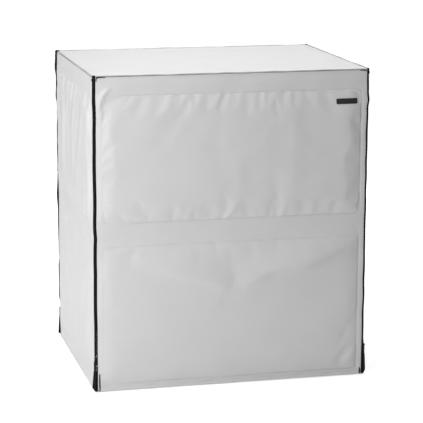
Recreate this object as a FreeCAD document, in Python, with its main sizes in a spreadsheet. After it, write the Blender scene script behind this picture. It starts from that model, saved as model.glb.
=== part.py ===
import FreeCAD, Part
import math
import os
import re

import Sketcher
from FreeCAD import Placement, Rotation, Vector

# A box-shaped insulated hood that is pulled over a plate trolley. Roof, left wall and right wall make a
# stiff bridge that stands on the hems of the side walls. The front and the back are flaps: each hangs from
# the roof's piping, folds at a band half way up, and is closed at both edges by a zip on the cut-off corner.
#
# Millimetres. The origin is on the floor under the middle of the hood: +Z up, the front faces -Y, the width
# runs along X. A wall's own frame has X across it, Y up and Z outwards, with Z = 0 on the outside of its
# plain skin. A corner's own frame has X along the zip's width, Y outwards and Z up, with its origin on the
# middle line of the zip.

DIMENSIONS = {
    "hood_width": (820.0, "outside, over the plain skin of the left and right walls"),
    "hood_depth": (630.0, "outside, over the plain skin of the front and back"),
    "hood_height": (925.0, "floor to the top of the roof"),
    "corner_leg": (9.0, "how far each wall stops short of the corner; the zip fills the rest"),
    "skin_thickness": (1.2, "coated outer fabric"),
    "lining_thickness": (1.0, "inner fabric"),
    "pad_rise": (8.0, "how far the padded fields stand out from the plain skin"),
    "pad_inset": (25.0, "padded field's edge, measured from the wall's corner"),
    "pad_corner": (14.0, "corner radius of a padded field"),
    "pad_edge": (3.0, "rounding along a padded field's rim"),
    "foam_gap": (0.4, "room around a foam board in its pocket"),
    "lower_pad_bottom": (22.0, "height of the lower field's lower edge"),
    "lower_pad_top": (430.0, "height of the lower field's upper edge"),
    "fold_height": (465.0, "height of the fold line in the plain band"),
    "upper_pad_bottom": (500.0, "height of the upper field's lower edge"),
    "upper_pad_top": (866.0, "height of the upper field's upper edge"),
    "fold_gap": (0.4, "each flap half ends this far from the fold line"),
    "wall_top": (920.6, "height of the walls' upper edge, under the piping"),
    "side_hem_bottom": (0.0, "the side walls stand on the floor"),
    "flap_hem_bottom": (2.0, "the flaps hang clear of the floor"),
    "hem_height": (12.0, "height of the folded binding"),
    "hem_fold": (0.9, "thickness of one layer of the binding"),
    "hem_gap": (0.1, "room between the binding and the wall"),
    "piping_diameter": (4.0, "cord along the roof's edges"),
    "piping_flange": (10.0, "flat seam allowance of the piping, from the cord's middle"),
    "flange_thickness": (1.0, "seam allowance of the piping"),
    "roof_setback": (4.0, "roof skin's edge, measured from the outside of the walls"),
    "roof_foam": (10.0, "foam board in the roof"),
    "roof_lining_inset": (6.0, "roof lining's edge, measured from the outside of the walls"),
    "tape_thickness": (0.8, "zip tape"),
    "tape_outer": (5.9, "zip tape's visible edge, from the middle of the zip"),
    "coil_inner": (0.9, "zip coil's edge beside the middle line"),
    "coil_outer": (3.9, "zip coil's edge on the tape"),
    "coil_thickness": (2.4, "zip coil, through its thickness"),
    "tape_seam": (6.0, "width of tape sewn under a wall's edge"),
    "tape_turn": (1.0, "tape beyond the wall's edge, where it turns into the corner"),
    "tape_bottom": (0.5, "height of the tape tails' ends"),
    "tape_top": (917.0, "height of the tapes' upper ends"),
    "coil_bottom": (75.5, "height of the coils' lower ends"),
    "coil_top": (912.0, "height of the coils' upper ends"),
    "slider_height": (92.0, "middle of a slider when its zip is closed"),
    "slider_length": (26.0, "slider"),
    "slider_width": (9.2, "slider"),
    "slider_depth": (6.0, "slider, over both plates"),
    "slider_slot": (3.2, "gap between the slider's plates"),
    "slider_neck": (1.0, "wedge between the slider's plates"),
    "slider_neck_length": (10.0, "wedge, from the slider's lower end"),
    "slider_clearance": (3.0, "flap's zip half is cut back this far above and below a slider"),
    "slider_taper": (1.4, "slider, drawn in at each side of its ends"),
    "slider_shoulder": (9.0, "slider's broad upper end, drawn in over this length"),
    "slider_heel": (2.0, "slider's lower end, drawn in over this length"),
    "metal_rounding": (0.8, "edges of sliders and pull tabs"),
    "loop_out": (5.2, "axis of the pull tab, from the middle of the zip"),
    "loop_radius": (3.4, "slider's loop, outside"),
    "loop_hole": (1.8, "slider's loop, inside radius"),
    "loop_width": (2.6, "slider's loop"),
    "cut_overlap": (0.01, "cuts reach this far into one another"),
    "tab_length": (34.0, "pull tab, below its axis"),
    "tab_width": (8.0, "pull tab"),
    "tab_thickness": (1.4, "pull tab"),
    "tab_bar": (0.9, "half the height of the pull tab's top bar"),
    "eye_width": (3.8, "pull tab's eye"),
    "eye_bottom": (4.2, "pull tab's eye, below its axis"),
    "strap_top": (27.5, "strap's upper end, below the tab's axis"),
    "strap_bottom": (77.0, "strap's lower end, below the tab's axis"),
    "strap_lean": (4.5, "how far the strap's end leans towards the side wall"),
    "strap_top_width": (8.4, "strap at the tab"),
    "strap_bottom_width": (11.0, "strap at its free end"),
    "strap_thickness": (2.7, "folded strap, both layers"),
    "strap_slot": (1.6, "gap in the folded strap for the tab"),
    "strap_bridge": (4.6, "width of strap through the tab's lower slot"),
    "strap_bridge_top": (28.6, "fold of the strap in the tab's slot, below the axis"),
    "strap_bridge_bottom": (30.8, "fold of the strap in the tab's slot, below the axis"),
    "tab_slot_width": (5.4, "pull tab's lower slot"),
    "tab_slot_top": (28.0, "pull tab's lower slot, below the axis"),
    "tab_slot_bottom": (31.4, "pull tab's lower slot, below the axis"),
    "stop_length": (4.0, "clamp at each end of a coil"),
    "stop_thickness": (3.4, "clamp at each end of a coil"),
    "tape_end_width": (4.6, "folded tape end on a top corner, across"),
    "tape_end_depth": (8.6, "folded tape end on a top corner, towards the back"),
    "tape_end_height": (7.7, "folded tape end on a top corner"),
    "tape_tab_length": (24.0, "black tape end along a flap's upper edge"),
    "tape_tab_height": (3.5, "black tape end along a flap's upper edge"),
    "tape_tab_thickness": (1.0, "black tape end along a flap's upper edge"),
    "patch_left": (306.0, "blank patch's left edge, from the middle of the front"),
    "patch_bottom": (824.0, "blank patch's lower edge"),
    "patch_width": (64.0, "blank patch"),
    "patch_height": (16.0, "blank patch"),
    "patch_thickness": (0.4, "blank patch"),
}

# wall: (turn about Z in degrees, distance of its skin from the middle, half its own width)
WALLS = {
    "front": (0, "hood_depth / 2", "(hood_width / 2 - corner_leg)"),
    "right": (90, "hood_width / 2", "(hood_depth / 2 - corner_leg)"),
    "back": (180, "hood_depth / 2", "(hood_width / 2 - corner_leg)"),
    "left": (270, "hood_width / 2", "(hood_depth / 2 - corner_leg)"),
}
# corner: (sign of x, sign of y)
CORNERS = {
    "front_left": (-1, -1),
    "front_right": (1, -1),
    "back_left": (-1, 1),
    "back_right": (1, 1),
}
FLAPS = ("front", "back")
SIDES = ("left", "right")
PADS = {"upper": ("upper_pad_bottom", "upper_pad_top"), "lower": ("lower_pad_bottom", "lower_pad_top")}
PAD_HALF_OF = {
    "front": "(hood_width / 2 - pad_inset)",
    "back": "(hood_width / 2 - pad_inset)",
    "left": "(hood_depth / 2 - pad_inset)",
    "right": "(hood_depth / 2 - pad_inset)",
}
ORIGIN = (-1, 1)  # a sketch's own origin, as its constraints name it
CLOSE = 0.01  # millimetres: nearer than this counts as the same height or depth

doc = FreeCAD.newDocument("insulated_hood")
sheet = doc.addObject("Spreadsheet::Sheet", "dims")
sub_parts = []


def fill_sheet():
    for row, (alias, (size, note)) in enumerate(DIMENSIONS.items(), start=1):
        sheet.set(f"A{row}", alias)
        sheet.set(f"B{row}", str(size))
        sheet.set(f"C{row}", note)
        sheet.setAlias(f"B{row}", alias)
    doc.recompute()


# ---- formulas: text such as "hood_width / 2", bound to the sheet's cells


def formula(text):
    """The text with every alias pointing at its cell."""
    return re.sub(r"[a-z]+(?:_[a-z]+)+", lambda word: "dims." + word.group(), text)


def value(text):
    return float(sheet.evalExpression(formula(text)))


def bind(thing, **sizes):
    for name, text in sizes.items():
        thing.setExpression(name, formula(text))


def place(thing, rotation, point):
    """Turn the object, and bind its place to three formulas."""
    thing.Placement = Placement(Vector(*(value(text) for text in point)), rotation)
    for letter, text in zip("xyz", point):
        thing.setExpression(f"Placement.Base.{letter}", formula(text))


def wall_place(thing, wall, across="0", up="0", out="0"):
    """Put the object at a point of a wall's own frame, turned with the wall."""
    turn, reach, _ = WALLS[wall]
    distance = f"({reach} + {out})"
    point = {
        0: (across, f"-1 * {distance}", up),
        90: (distance, across, up),
        180: (f"-1 * ({across})", distance, up),
        270: (f"-1 * {distance}", f"-1 * ({across})", up),
    }[turn]
    upright = Rotation(Vector(0, 0, 1), turn) * Rotation(Vector(1, 0, 0), 90)
    place(thing, upright, point)


def corner_hand(corner):
    """1 where the corner's own X points towards its flap, and -1 where it points towards its side wall."""
    sign_x, sign_y = CORNERS[corner]
    return -sign_x * sign_y


def corner_place(thing, corner, along="0", out="0", up="0"):
    """Put the object at a point of a corner's own frame, turned with the corner."""
    sign_x, sign_y = CORNERS[corner]
    hand = corner_hand(corner)
    x = f"{sign_x} * (hood_width / 2 - corner_leg / 2 + sqrt(0.5) * (({out}) - {hand} * ({along})))"
    y = f"{sign_y} * (hood_depth / 2 - corner_leg / 2 + sqrt(0.5) * (({out}) + {hand} * ({along})))"
    outwards = math.degrees(math.atan2(sign_y, sign_x))
    place(thing, Rotation(Vector(0, 0, 1), outwards - 90), (x, y, up))


# ---- building blocks


def keep(thing, node):
    """Name a finished sub-part; its label is also its file's name."""
    thing.Label = node
    sub_parts.append(thing)
    return thing


def new_body(name):
    return doc.addObject("PartDesign::Body", name)


def new_sketch(body, name, role, offset=None):
    """A sketch on one of the body's own origin planes, lifted from it by a formula."""
    plane = next(f for f in body.Origin.OriginFeatures if f.Role == role)
    sketch = body.newObject("Sketcher::SketchObject", name)
    sketch.AttachmentSupport = [(plane, "")]
    sketch.MapMode = "FlatFace"
    if offset:
        sketch.AttachmentOffset = Placement(Vector(0, 0, value(offset)), Rotation())
        sketch.setExpression("AttachmentOffset.Base.z", formula(offset))
    return sketch


def pin_down(sketch, point, axis, text):
    """Hold one coordinate of a sketch's point at a formula, with a positive distance."""
    kind = "DistanceX" if axis == 0 else "DistanceY"
    size = value(text)
    if abs(size) < 1e-9:
        on_axis = "Vertical" if axis == 0 else "Horizontal"
        sketch.addConstraint(Sketcher.Constraint(on_axis, *point, *ORIGIN))
        return
    ends = (*ORIGIN, *point) if size > 0 else (*point, *ORIGIN)
    index = sketch.addConstraint(Sketcher.Constraint(kind, *ends, abs(size)))
    signed = text if size > 0 else f"-1 * ({text})"
    sketch.setExpression(f"Constraints[{index}]", formula(signed))


def draw_polygon(sketch, corners):
    """A closed outline through points given as pairs of formulas."""
    spots = [Vector(value(x), value(y), 0) for x, y in corners]
    first = sketch.GeometryCount
    count = len(spots)
    for k in range(count):
        sketch.addGeometry(Part.LineSegment(spots[k], spots[(k + 1) % count]))
    for k in range(count):
        sketch.addConstraint(
            Sketcher.Constraint("Coincident", first + k, 2, first + (k + 1) % count, 1)
        )
    for k, (x, y) in enumerate(corners):
        pin_down(sketch, (first + k, 1), 0, x)
        pin_down(sketch, (first + k, 1), 1, y)


def draw_rectangle(sketch, left, bottom, right, top):
    draw_polygon(sketch, [(left, bottom), (right, bottom), (right, top), (left, top)])


def draw_rounded_rectangle(sketch, left, bottom, right, top, radius):
    """Four lines joined by four equal tangent arcs, drawn anticlockwise from the lower edge."""
    low = Vector(value(left), value(bottom), 0)
    high = Vector(value(right), value(top), 0)
    size = value(radius)
    centres = [
        Vector(high.x - size, low.y + size, 0),
        Vector(high.x - size, high.y - size, 0),
        Vector(low.x + size, high.y - size, 0),
        Vector(low.x + size, low.y + size, 0),
    ]
    arcs = []
    for k, centre in enumerate(centres):
        start = (k - 1) * math.pi / 2
        circle = Part.Circle(centre, Vector(0, 0, 1), size)
        arcs.append(Part.ArcOfCircle(circle, start, start + math.pi / 2))
    first = sketch.GeometryCount
    for k, arc in enumerate(arcs):
        sketch.addGeometry(Part.LineSegment(arcs[k - 1].EndPoint, arc.StartPoint))
        sketch.addGeometry(arc)
    sides = [(1, bottom), (0, right), (1, top), (0, left)]
    for k, (axis, text) in enumerate(sides):
        line = first + 2 * k
        arc = line + 1
        sketch.addConstraint(Sketcher.Constraint("Tangent", line, 2, arc, 1))
        sketch.addConstraint(Sketcher.Constraint("Tangent", arc, 2, first + (2 * k + 2) % 8, 1))
        sketch.addConstraint(Sketcher.Constraint("Horizontal" if axis == 1 else "Vertical", line))
        pin_down(sketch, (line, 1), axis, text)
        if k:
            sketch.addConstraint(Sketcher.Constraint("Equal", first + 1, arc))
    index = sketch.addConstraint(Sketcher.Constraint("Radius", first + 1, size))
    sketch.setExpression(f"Constraints[{index}]", formula(radius))


def draw_circle(sketch, x, y, radius):
    centre = Vector(value(x), value(y), 0)
    index = sketch.addGeometry(Part.Circle(centre, Vector(0, 0, 1), value(radius)))
    size = sketch.addConstraint(Sketcher.Constraint("Radius", index, value(radius)))
    sketch.setExpression(f"Constraints[{size}]", formula(radius))
    pin_down(sketch, (index, 3), 0, x)
    pin_down(sketch, (index, 3), 1, y)


def pad(body, sketch, length, reverse=False, both_ways=False):
    feature = body.newObject("PartDesign::Pad", sketch.Name + "_pad")
    feature.Profile = sketch
    feature.Reversed = reverse
    feature.Midplane = both_ways
    bind(feature, Length=length)
    doc.recompute()
    return feature


def pocket(body, sketch, length, reverse=False, both_ways=False):
    """Cut, and stop the build if the cut took nothing away."""
    before = body.Shape.Volume
    feature = body.newObject("PartDesign::Pocket", sketch.Name + "_pocket")
    feature.Profile = sketch
    feature.Reversed = reverse
    feature.Midplane = both_ways
    bind(feature, Length=length)
    doc.recompute()
    if not body.Shape.Volume < before:
        raise RuntimeError(f"{feature.Name} cuts nothing")
    return feature


def round_edges(body, radius, chosen):
    """Fillet the edges of the body's last feature that the test picks, in the body's own frame."""
    base = body.Tip
    names = [f"Edge{k}" for k, edge in enumerate(base.Shape.Edges, start=1) if chosen(edge)]
    feature = body.newObject("PartDesign::Fillet", base.Name + "_round")
    feature.Base = (base, names)
    bind(feature, Radius=radius)
    doc.recompute()
    return feature


def is_along(edge, axis):
    """Whether an edge is straight and runs along an axis."""
    if edge.Curve.TypeId != "Part::GeomLine":
        return False
    return abs(edge.tangentAt(edge.FirstParameter).dot(axis)) > 0.999


def box(name, length, width, height):
    thing = doc.addObject("Part::Box", name)
    bind(thing, Length=length, Width=width, Height=height)
    return thing


def wall_box(name, wall, across, up, out):
    """A box between pairs of formulas across a wall, up it and outwards from its skin."""
    thing = box(name, *(f"({high}) - ({low})" for low, high in (across, up, out)))
    wall_place(thing, wall, across[0], up[0], out[0])
    return thing


def corner_box(name, corner, to_flap, out, up):
    """A box beside a corner's middle line: to_flap counts towards the flap, out outwards."""
    low, high = to_flap
    thing = box(name, *(f"({end}) - ({start})" for start, end in (to_flap, out, up)))
    start = low if corner_hand(corner) > 0 else f"-1 * ({high})"
    corner_place(thing, corner, start, out[0], up[0])
    return thing


def group(node, things):
    """Separate solids in one node."""
    compound = doc.addObject("Part::Compound", node)
    compound.Links = things
    return keep(compound, node)


def fuse(name, things):
    joined = doc.addObject("Part::MultiFuse", name)
    joined.Shapes = things
    joined.Refine = True
    return joined


# ---- walls and flaps


def wall_skin(node, wall, pads, bottom, top):
    """Coated fabric with one raised pocket for each foam board."""
    body = new_body(node)
    half = WALLS[wall][2]
    field = PAD_HALF_OF[wall]
    plain = new_sketch(body, node + "_plain", "XY_Plane")
    draw_rectangle(plain, f"-1 * {half}", bottom, half, top)
    pad(body, plain, "skin_thickness", reverse=True)
    for name in pads:
        low, high = PADS[name]
        raised = new_sketch(body, f"{node}_{name}_field", "XY_Plane")
        draw_rounded_rectangle(raised, f"-1 * {field}", low, field, high, "pad_corner")
        pad(body, raised, "pad_rise")
    rise = value("pad_rise")
    round_edges(body, "pad_edge", lambda e: abs(e.BoundBox.ZMin - rise) < CLOSE)
    for name in pads:
        low, high = PADS[name]
        hollow = new_sketch(body, f"{node}_{name}_hollow", "XY_Plane", "-1 * skin_thickness")
        inner = f"({field} - skin_thickness)"
        draw_rounded_rectangle(
            hollow,
            f"-1 * {inner}",
            f"{low} + skin_thickness",
            inner,
            f"{high} - skin_thickness",
            "pad_corner - skin_thickness",
        )
        pocket(body, hollow, "pad_rise", reverse=True)
    wall_place(body, wall)
    return keep(body, node)


def foam_pad(node, wall, name):
    """Foam board that fills the raised pocket of a skin."""
    body = new_body(node)
    low, high = PADS[name]
    half = f"({PAD_HALF_OF[wall]} - skin_thickness - foam_gap)"
    margin = "skin_thickness + foam_gap"
    outline = new_sketch(body, node + "_outline", "XY_Plane", "-1 * skin_thickness")
    draw_rounded_rectangle(
        outline,
        f"-1 * {half}",
        f"{low} + {margin}",
        half,
        f"{high} - ({margin})",
        f"pad_corner - ({margin})",
    )
    pad(body, outline, "pad_rise")
    wall_place(body, wall)
    return keep(body, node)


def lining(node, wall, bottom, top):
    half = f"({WALLS[wall][2]} - tape_seam - foam_gap)"
    inside = "-1 * (skin_thickness + lining_thickness)"
    sides = (f"-1 * {half}", half)
    return keep(wall_box(node, wall, sides, (bottom, top), (inside, "-1 * skin_thickness")), node)


def hem(node, wall, bottom):
    """Binding folded round the lower edge: a U whose legs hold skin and lining between them."""
    body = new_body(node)
    outside = "(hem_fold + hem_gap)"
    inside = "(skin_thickness + lining_thickness + hem_gap + hem_fold)"
    half = f"({WALLS[wall][2]} - tape_turn)"
    section = new_sketch(body, node + "_section", "YZ_Plane")
    top = f"{bottom} + hem_height"
    cavity = f"{bottom} + hem_fold"
    draw_polygon(
        section,
        [
            (bottom, outside),
            (bottom, f"-1 * {inside}"),
            (top, f"-1 * {inside}"),
            (top, f"hem_fold - {inside}"),
            (cavity, f"hem_fold - {inside}"),
            (cavity, "hem_gap"),
            (top, "hem_gap"),
            (top, outside),
        ],
    )
    pad(body, section, f"2 * {half}", both_ways=True)
    wall_place(body, wall)
    return keep(body, node)


def tape_half(name, corner, wall, strips, seam):
    """One half of a zip's tape: strips on the corner's face, and a seam allowance under the wall's edge.

    Each strip and the seam allowance is a pair of heights.
    """
    on_flap = wall in FLAPS
    near, far = ("coil_outer", "tape_outer") if on_flap else ("-1 * tape_outer", "-1 * coil_outer")
    half_thick = "tape_thickness / 2"
    pieces = []
    through = (f"-1 * {half_thick}", half_thick)
    for k, levels in enumerate(strips):
        pieces.append(corner_box(f"{name}_strip_{k}", corner, (near, far), through, levels))
    edge = WALLS[wall][2]
    inner, outer = f"({edge} - tape_seam)", f"({edge} + tape_turn)"
    across = (inner, outer) if side_of(wall, corner) > 0 else (f"-1 * {outer}", f"-1 * {inner}")
    under = ("-1 * (skin_thickness + tape_thickness)", "-1 * skin_thickness")
    pieces.append(wall_box(name + "_seam", wall, across, seam, under))
    return fuse(name, pieces)


def side_of(wall, corner):
    """1 where the corner is on the +X side of the wall's own frame, and -1 on the other side."""
    sign_x, sign_y = CORNERS[corner]
    return {"front": sign_x, "right": sign_y, "back": -sign_x, "left": -sign_y}[wall]


def coil_half(name, corner, wall, levels):
    sides = ("coil_inner", "coil_outer")
    if wall not in FLAPS:
        sides = ("-1 * coil_outer", "-1 * coil_inner")
    half_thick = "coil_thickness / 2"
    return corner_box(name, corner, sides, (f"-1 * {half_thick}", half_thick), levels)


def tape_tab(name, corner, wall):
    """Black tape end laid along the upper edge of a flap."""
    edge = WALLS[wall][2]
    across = (f"{edge} - tape_tab_length", edge)
    if side_of(wall, corner) < 0:
        across = (f"-1 * {edge}", f"tape_tab_length - {edge}")
    up = ("wall_top - tape_tab_height", "wall_top")
    return wall_box(name, wall, across, up, ("0", "tape_tab_thickness"))


def make_side_wall(side):
    bottom = "side_hem_bottom + hem_fold + hem_gap"
    wall_skin(f"{side}_wall_outer_skin", side, PADS, bottom, "wall_top")
    for name in PADS:
        foam_pad(f"{side}_{name}_foam_pad", side, name)
    lining(f"{side}_wall_lining", side, bottom, "wall_top")
    hem(f"{side}_wall_hem", side, "side_hem_bottom")


def flap_corners(flap):
    return [corner for corner in CORNERS if corner.startswith(flap)]


def make_upper_flap(flap):
    node = f"{flap}_upper"
    bottom = "fold_height + fold_gap"
    wall_skin(f"{node}_outer_skin", flap, ("upper",), bottom, "wall_top")
    foam_pad(f"{node}_foam_pad", flap, "upper")
    lining(f"{node}_lining", flap, bottom, "wall_top")
    tapes = []
    coils = []
    for corner in flap_corners(flap):
        levels = (bottom, "tape_top")
        tapes.append(tape_half(f"{node}_{corner}_tape", corner, flap, [levels], levels))
        tapes.append(tape_tab(f"{node}_{corner}_tape_tab", corner, flap))
        coils.append(coil_half(f"{node}_{corner}_coil", corner, flap, (bottom, "coil_top")))
    group(f"{node}_zip_tapes", tapes)
    group(f"{node}_zip_coils", coils)


def make_lower_flap(flap):
    node = f"{flap}_lower"
    bottom = "flap_hem_bottom + hem_fold + hem_gap"
    top = "fold_height - fold_gap"
    wall_skin(f"{node}_outer_skin", flap, ("lower",), bottom, top)
    foam_pad(f"{node}_foam_pad", flap, "lower")
    lining(f"{node}_lining", flap, bottom, top)
    hem(f"{node}_hem", flap, "flap_hem_bottom")
    slider_low = "slider_height - slider_length / 2 - slider_clearance"
    slider_high = "slider_height + slider_length / 2 + slider_clearance"
    strips = [("flap_hem_bottom", slider_low), (slider_high, top)]
    seam = ("flap_hem_bottom + hem_height + hem_gap", top)
    tapes = []
    coils = []
    for corner in flap_corners(flap):
        tapes.append(tape_half(f"{node}_{corner}_tape", corner, flap, strips, seam))
        coils.append(coil_half(f"{node}_{corner}_coil", corner, flap, (slider_high, top)))
    group(f"{node}_zip_tapes", tapes)
    group(f"{node}_zip_coils", coils)


def make_name_patch():
    """Blank patch in the upper right corner of the front's upper field."""
    across = ("patch_left", "patch_left + patch_width")
    up = ("patch_bottom", "patch_bottom + patch_height")
    out = ("pad_rise", "pad_rise + patch_thickness")
    keep(wall_box("front_name_patch", "front", across, up, out), "front_name_patch")


# ---- roof


def roof_slab(node, setback, bottom, top):
    """A flat layer of the roof, set back from the outside of the walls."""
    half_x = f"(hood_width / 2 - {setback})"
    half_y = f"(hood_depth / 2 - {setback})"
    thing = box(node, f"2 * {half_x}", f"2 * {half_y}", f"({top}) - ({bottom})")
    place(thing, Rotation(), (f"-1 * {half_x}", f"-1 * {half_y}", bottom))
    return keep(thing, node)


def piping_side(wall):
    """Cord with a flat seam allowance, along one edge of the roof."""
    name = f"{wall}_piping"
    body = new_body(name)
    middle = "(hood_height - piping_diameter / 2)"
    inwards = "(-1 * piping_diameter / 2)"
    cord = new_sketch(body, name + "_cord", "YZ_Plane")
    draw_circle(cord, middle, inwards, "piping_diameter / 2")
    pad(body, cord, f"2 * ({WALLS[wall][2]} + tape_turn)", both_ways=True)
    flange = new_sketch(body, name + "_flange", "YZ_Plane")
    skin_under = "(hood_height - skin_thickness)"
    draw_rectangle(
        flange,
        f"{skin_under} - flange_thickness",
        f"{inwards} - piping_flange",
        skin_under,
        inwards,
    )
    pad(body, flange, f"2 * ({WALLS[wall][2]} - roof_setback - tape_turn)", both_ways=True)
    wall_place(body, wall)
    return body


def make_roof():
    skin_under = "hood_height - skin_thickness"
    foam_under = f"{skin_under} - roof_foam"
    foam_setback = "(piping_diameter / 2 + piping_flange + hem_gap)"
    roof_slab("roof_outer_skin", "roof_setback", skin_under, "hood_height")
    roof_slab("roof_foam_board", foam_setback, foam_under, skin_under)
    roof_slab("roof_lining", "roof_lining_inset", f"{foam_under} - lining_thickness", foam_under)
    group("roof_piping", [piping_side(wall) for wall in WALLS])


# ---- zips


def make_side_zip_halves():
    """The halves of the four zips that belong to the side walls."""
    strips = [("tape_bottom", "tape_top")]
    seam = ("side_hem_bottom + hem_height + hem_gap", "tape_top")
    stops = []
    for corner in CORNERS:
        side = corner.split("_")[1]
        tape = f"{corner}_zip_tape"
        keep(tape_half(tape, corner, side, strips, seam), tape)
        coil = f"{corner}_zip_coil"
        keep(coil_half(coil, corner, side, ("coil_bottom", "coil_top")), coil)
        half_thick = "stop_thickness / 2"
        out = (f"-1 * {half_thick}", half_thick)
        across = ("-1 * coil_outer", "-1 * coil_inner")
        foot = ("coil_bottom - stop_length", "coil_bottom")
        stops.append(corner_box(f"{corner}_bottom_stop", corner, across, out, foot))
        head = ("coil_top", "coil_top + stop_length")
        stops.append(corner_box(f"{corner}_top_stop", corner, across, out, head))
    group("zip_stops", stops)


def make_corner_tape_ends():
    """Folded tape ends on the four top corners, beside the ends of the piping."""
    ends = []
    for corner, (sign_x, sign_y) in CORNERS.items():
        end = box(f"{corner}_tape_end", "tape_end_width", "tape_end_depth", "tape_end_height")
        far_x, far_y = "(hood_width / 2 + hem_fold)", "(hood_depth / 2 + hem_fold)"
        x = f"{far_x} - tape_end_width" if sign_x > 0 else f"-1 * {far_x}"
        y = f"{far_y} - tape_end_depth" if sign_y > 0 else f"-1 * {far_y}"
        place(end, Rotation(), (x, y, "hood_height - tape_end_height"))
        ends.append(end)
    group("corner_tape_ends", ends)


def make_slider(corner):
    """Two plates joined by a wedge: a slot on each side for the coils, a loop for the tab."""
    node = f"{corner}_zip_slider"
    body = new_body(node)
    outline = new_sketch(body, node + "_outline", "XZ_Plane")
    half_wide, half_long = "slider_width / 2", "slider_length / 2"
    shoulder = f"({half_wide} - slider_taper)"
    draw_polygon(
        outline,
        [
            (f"-1 * {shoulder}", f"-1 * {half_long}"),
            (shoulder, f"-1 * {half_long}"),
            (half_wide, f"slider_heel - {half_long}"),
            (half_wide, f"{half_long} - slider_shoulder"),
            (shoulder, half_long),
            (f"-1 * {shoulder}", half_long),
            (f"-1 * {half_wide}", f"{half_long} - slider_shoulder"),
            (f"-1 * {half_wide}", f"slider_heel - {half_long}"),
        ],
    )
    pad(body, outline, "slider_depth", both_ways=True)
    depth = value("slider_depth / 2")
    round_edges(body, "metal_rounding", lambda e: abs(abs(e.CenterOfMass.y) - depth) < CLOSE)
    slots = new_sketch(body, node + "_slots", "XY_Plane")
    for sign in (-1, 1):
        sides = sorted((f"{sign} * slider_neck / 2", f"{sign} * slider_width"), key=value)
        draw_rectangle(slots, sides[0], "-1 * slider_slot / 2", sides[1], "slider_slot / 2")
    pocket(body, slots, "2 * slider_length", both_ways=True)
    throat = new_sketch(body, node + "_throat", "XY_Plane", f"slider_neck_length - {half_long}")
    draw_rectangle(throat, "-1 * slider_neck", "-1 * slider_slot / 2", "slider_neck", "slider_slot / 2")
    pocket(body, throat, "slider_length", reverse=True)
    loop = new_sketch(body, node + "_loop", "YZ_Plane")
    draw_circle(loop, "loop_out", "0", "loop_radius")
    draw_circle(loop, "loop_out", "0", "loop_hole")
    pad(body, loop, "loop_width", both_ways=True)
    corner_place(body, corner, up="slider_height")
    return keep(body, node)


def make_pull_tab(corner):
    """Flat tab: its top bar lies in the slider's loop, and its lower slot holds the strap."""
    node = f"{corner}_pull_tab"
    body = new_body(node)
    outline = new_sketch(body, node + "_outline", "XZ_Plane")
    half = "tab_width / 2"
    draw_rectangle(outline, f"-1 * {half}", "-1 * tab_length", half, "tab_bar")
    pad(body, outline, "tab_thickness", both_ways=True)
    through = Vector(0, 1, 0)
    round_edges(body, "metal_rounding", lambda e: is_along(e, through))
    holes = new_sketch(body, node + "_holes", "XZ_Plane")
    draw_rectangle(holes, "-1 * eye_width / 2", "-1 * eye_bottom", "eye_width / 2", "-1 * tab_bar")
    draw_rectangle(
        holes,
        "-1 * tab_slot_width / 2",
        "-1 * tab_slot_bottom",
        "tab_slot_width / 2",
        "-1 * tab_slot_top",
    )
    pocket(body, holes, "2 * tab_thickness", both_ways=True)
    corner_place(body, corner, out="loop_out", up="slider_height")
    return keep(body, node)


def make_pull_strap(corner):
    """Woven strap folded through the tab's lower slot; its free end leans towards the side wall."""
    node = f"{corner}_pull_strap"
    body = new_body(node)
    lean = f"({-corner_hand(corner)} * strap_lean)"
    top_half, end_half = "strap_top_width / 2", "strap_bottom_width / 2"
    outline = new_sketch(body, node + "_outline", "XZ_Plane")
    draw_polygon(
        outline,
        [
            (f"{lean} - {end_half}", "-1 * strap_bottom"),
            (f"{lean} + {end_half}", "-1 * strap_bottom"),
            (top_half, "-1 * tab_length"),
            (top_half, "-1 * strap_top"),
            (f"-1 * {top_half}", "-1 * strap_top"),
            (f"-1 * {top_half}", "-1 * tab_length"),
        ],
    )
    pad(body, outline, "strap_thickness", both_ways=True)
    fork = new_sketch(body, node + "_fork", "XZ_Plane")
    clear = "strap_top_width"
    fork_end = "-1 * tab_length - foam_gap"
    draw_rectangle(fork, f"-1 * {clear}", fork_end, clear, "-1 * strap_bridge_bottom")
    draw_rectangle(fork, f"-1 * {clear}", "-1 * strap_bridge_top", clear, "-1 * tab_bar")
    pocket(body, fork, "strap_slot", both_ways=True)
    cheeks = new_sketch(body, node + "_cheeks", "XZ_Plane")
    for sign in (-1, 1):
        sides = sorted((f"{sign} * strap_bridge / 2", f"{sign} * strap_top_width"), key=value)
        low, high = "-1 * strap_bridge_bottom - cut_overlap", "-1 * strap_bridge_top + cut_overlap"
        draw_rectangle(cheeks, sides[0], low, sides[1], high)
    pocket(body, cheeks, "strap_slot", both_ways=True)
    corner_place(body, corner, out="loop_out", up="slider_height")
    return keep(body, node)


# ---- checks and files


def check_all():
    """Stop on a failed feature or an unusable shape, before any file is written."""
    for thing in doc.Objects:
        bad = [state for state in thing.State if state in ("Invalid", "Error")]
        if bad:
            raise RuntimeError(f"{thing.Name} is {bad}")
    labels = [thing.Label for thing in sub_parts]
    if len(set(labels)) != len(labels):
        raise RuntimeError("two sub-parts share a label")
    for thing in sub_parts:
        shape = thing.Shape
        if shape.isNull() or not shape.isValid() or not shape.Solids:
            raise RuntimeError(f"{thing.Label} has no valid solid")


def write_files():
    os.makedirs("parts", exist_ok=True)
    for thing in sub_parts:
        thing.Shape.exportStep(f"parts/{thing.Label}.step")


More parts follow.
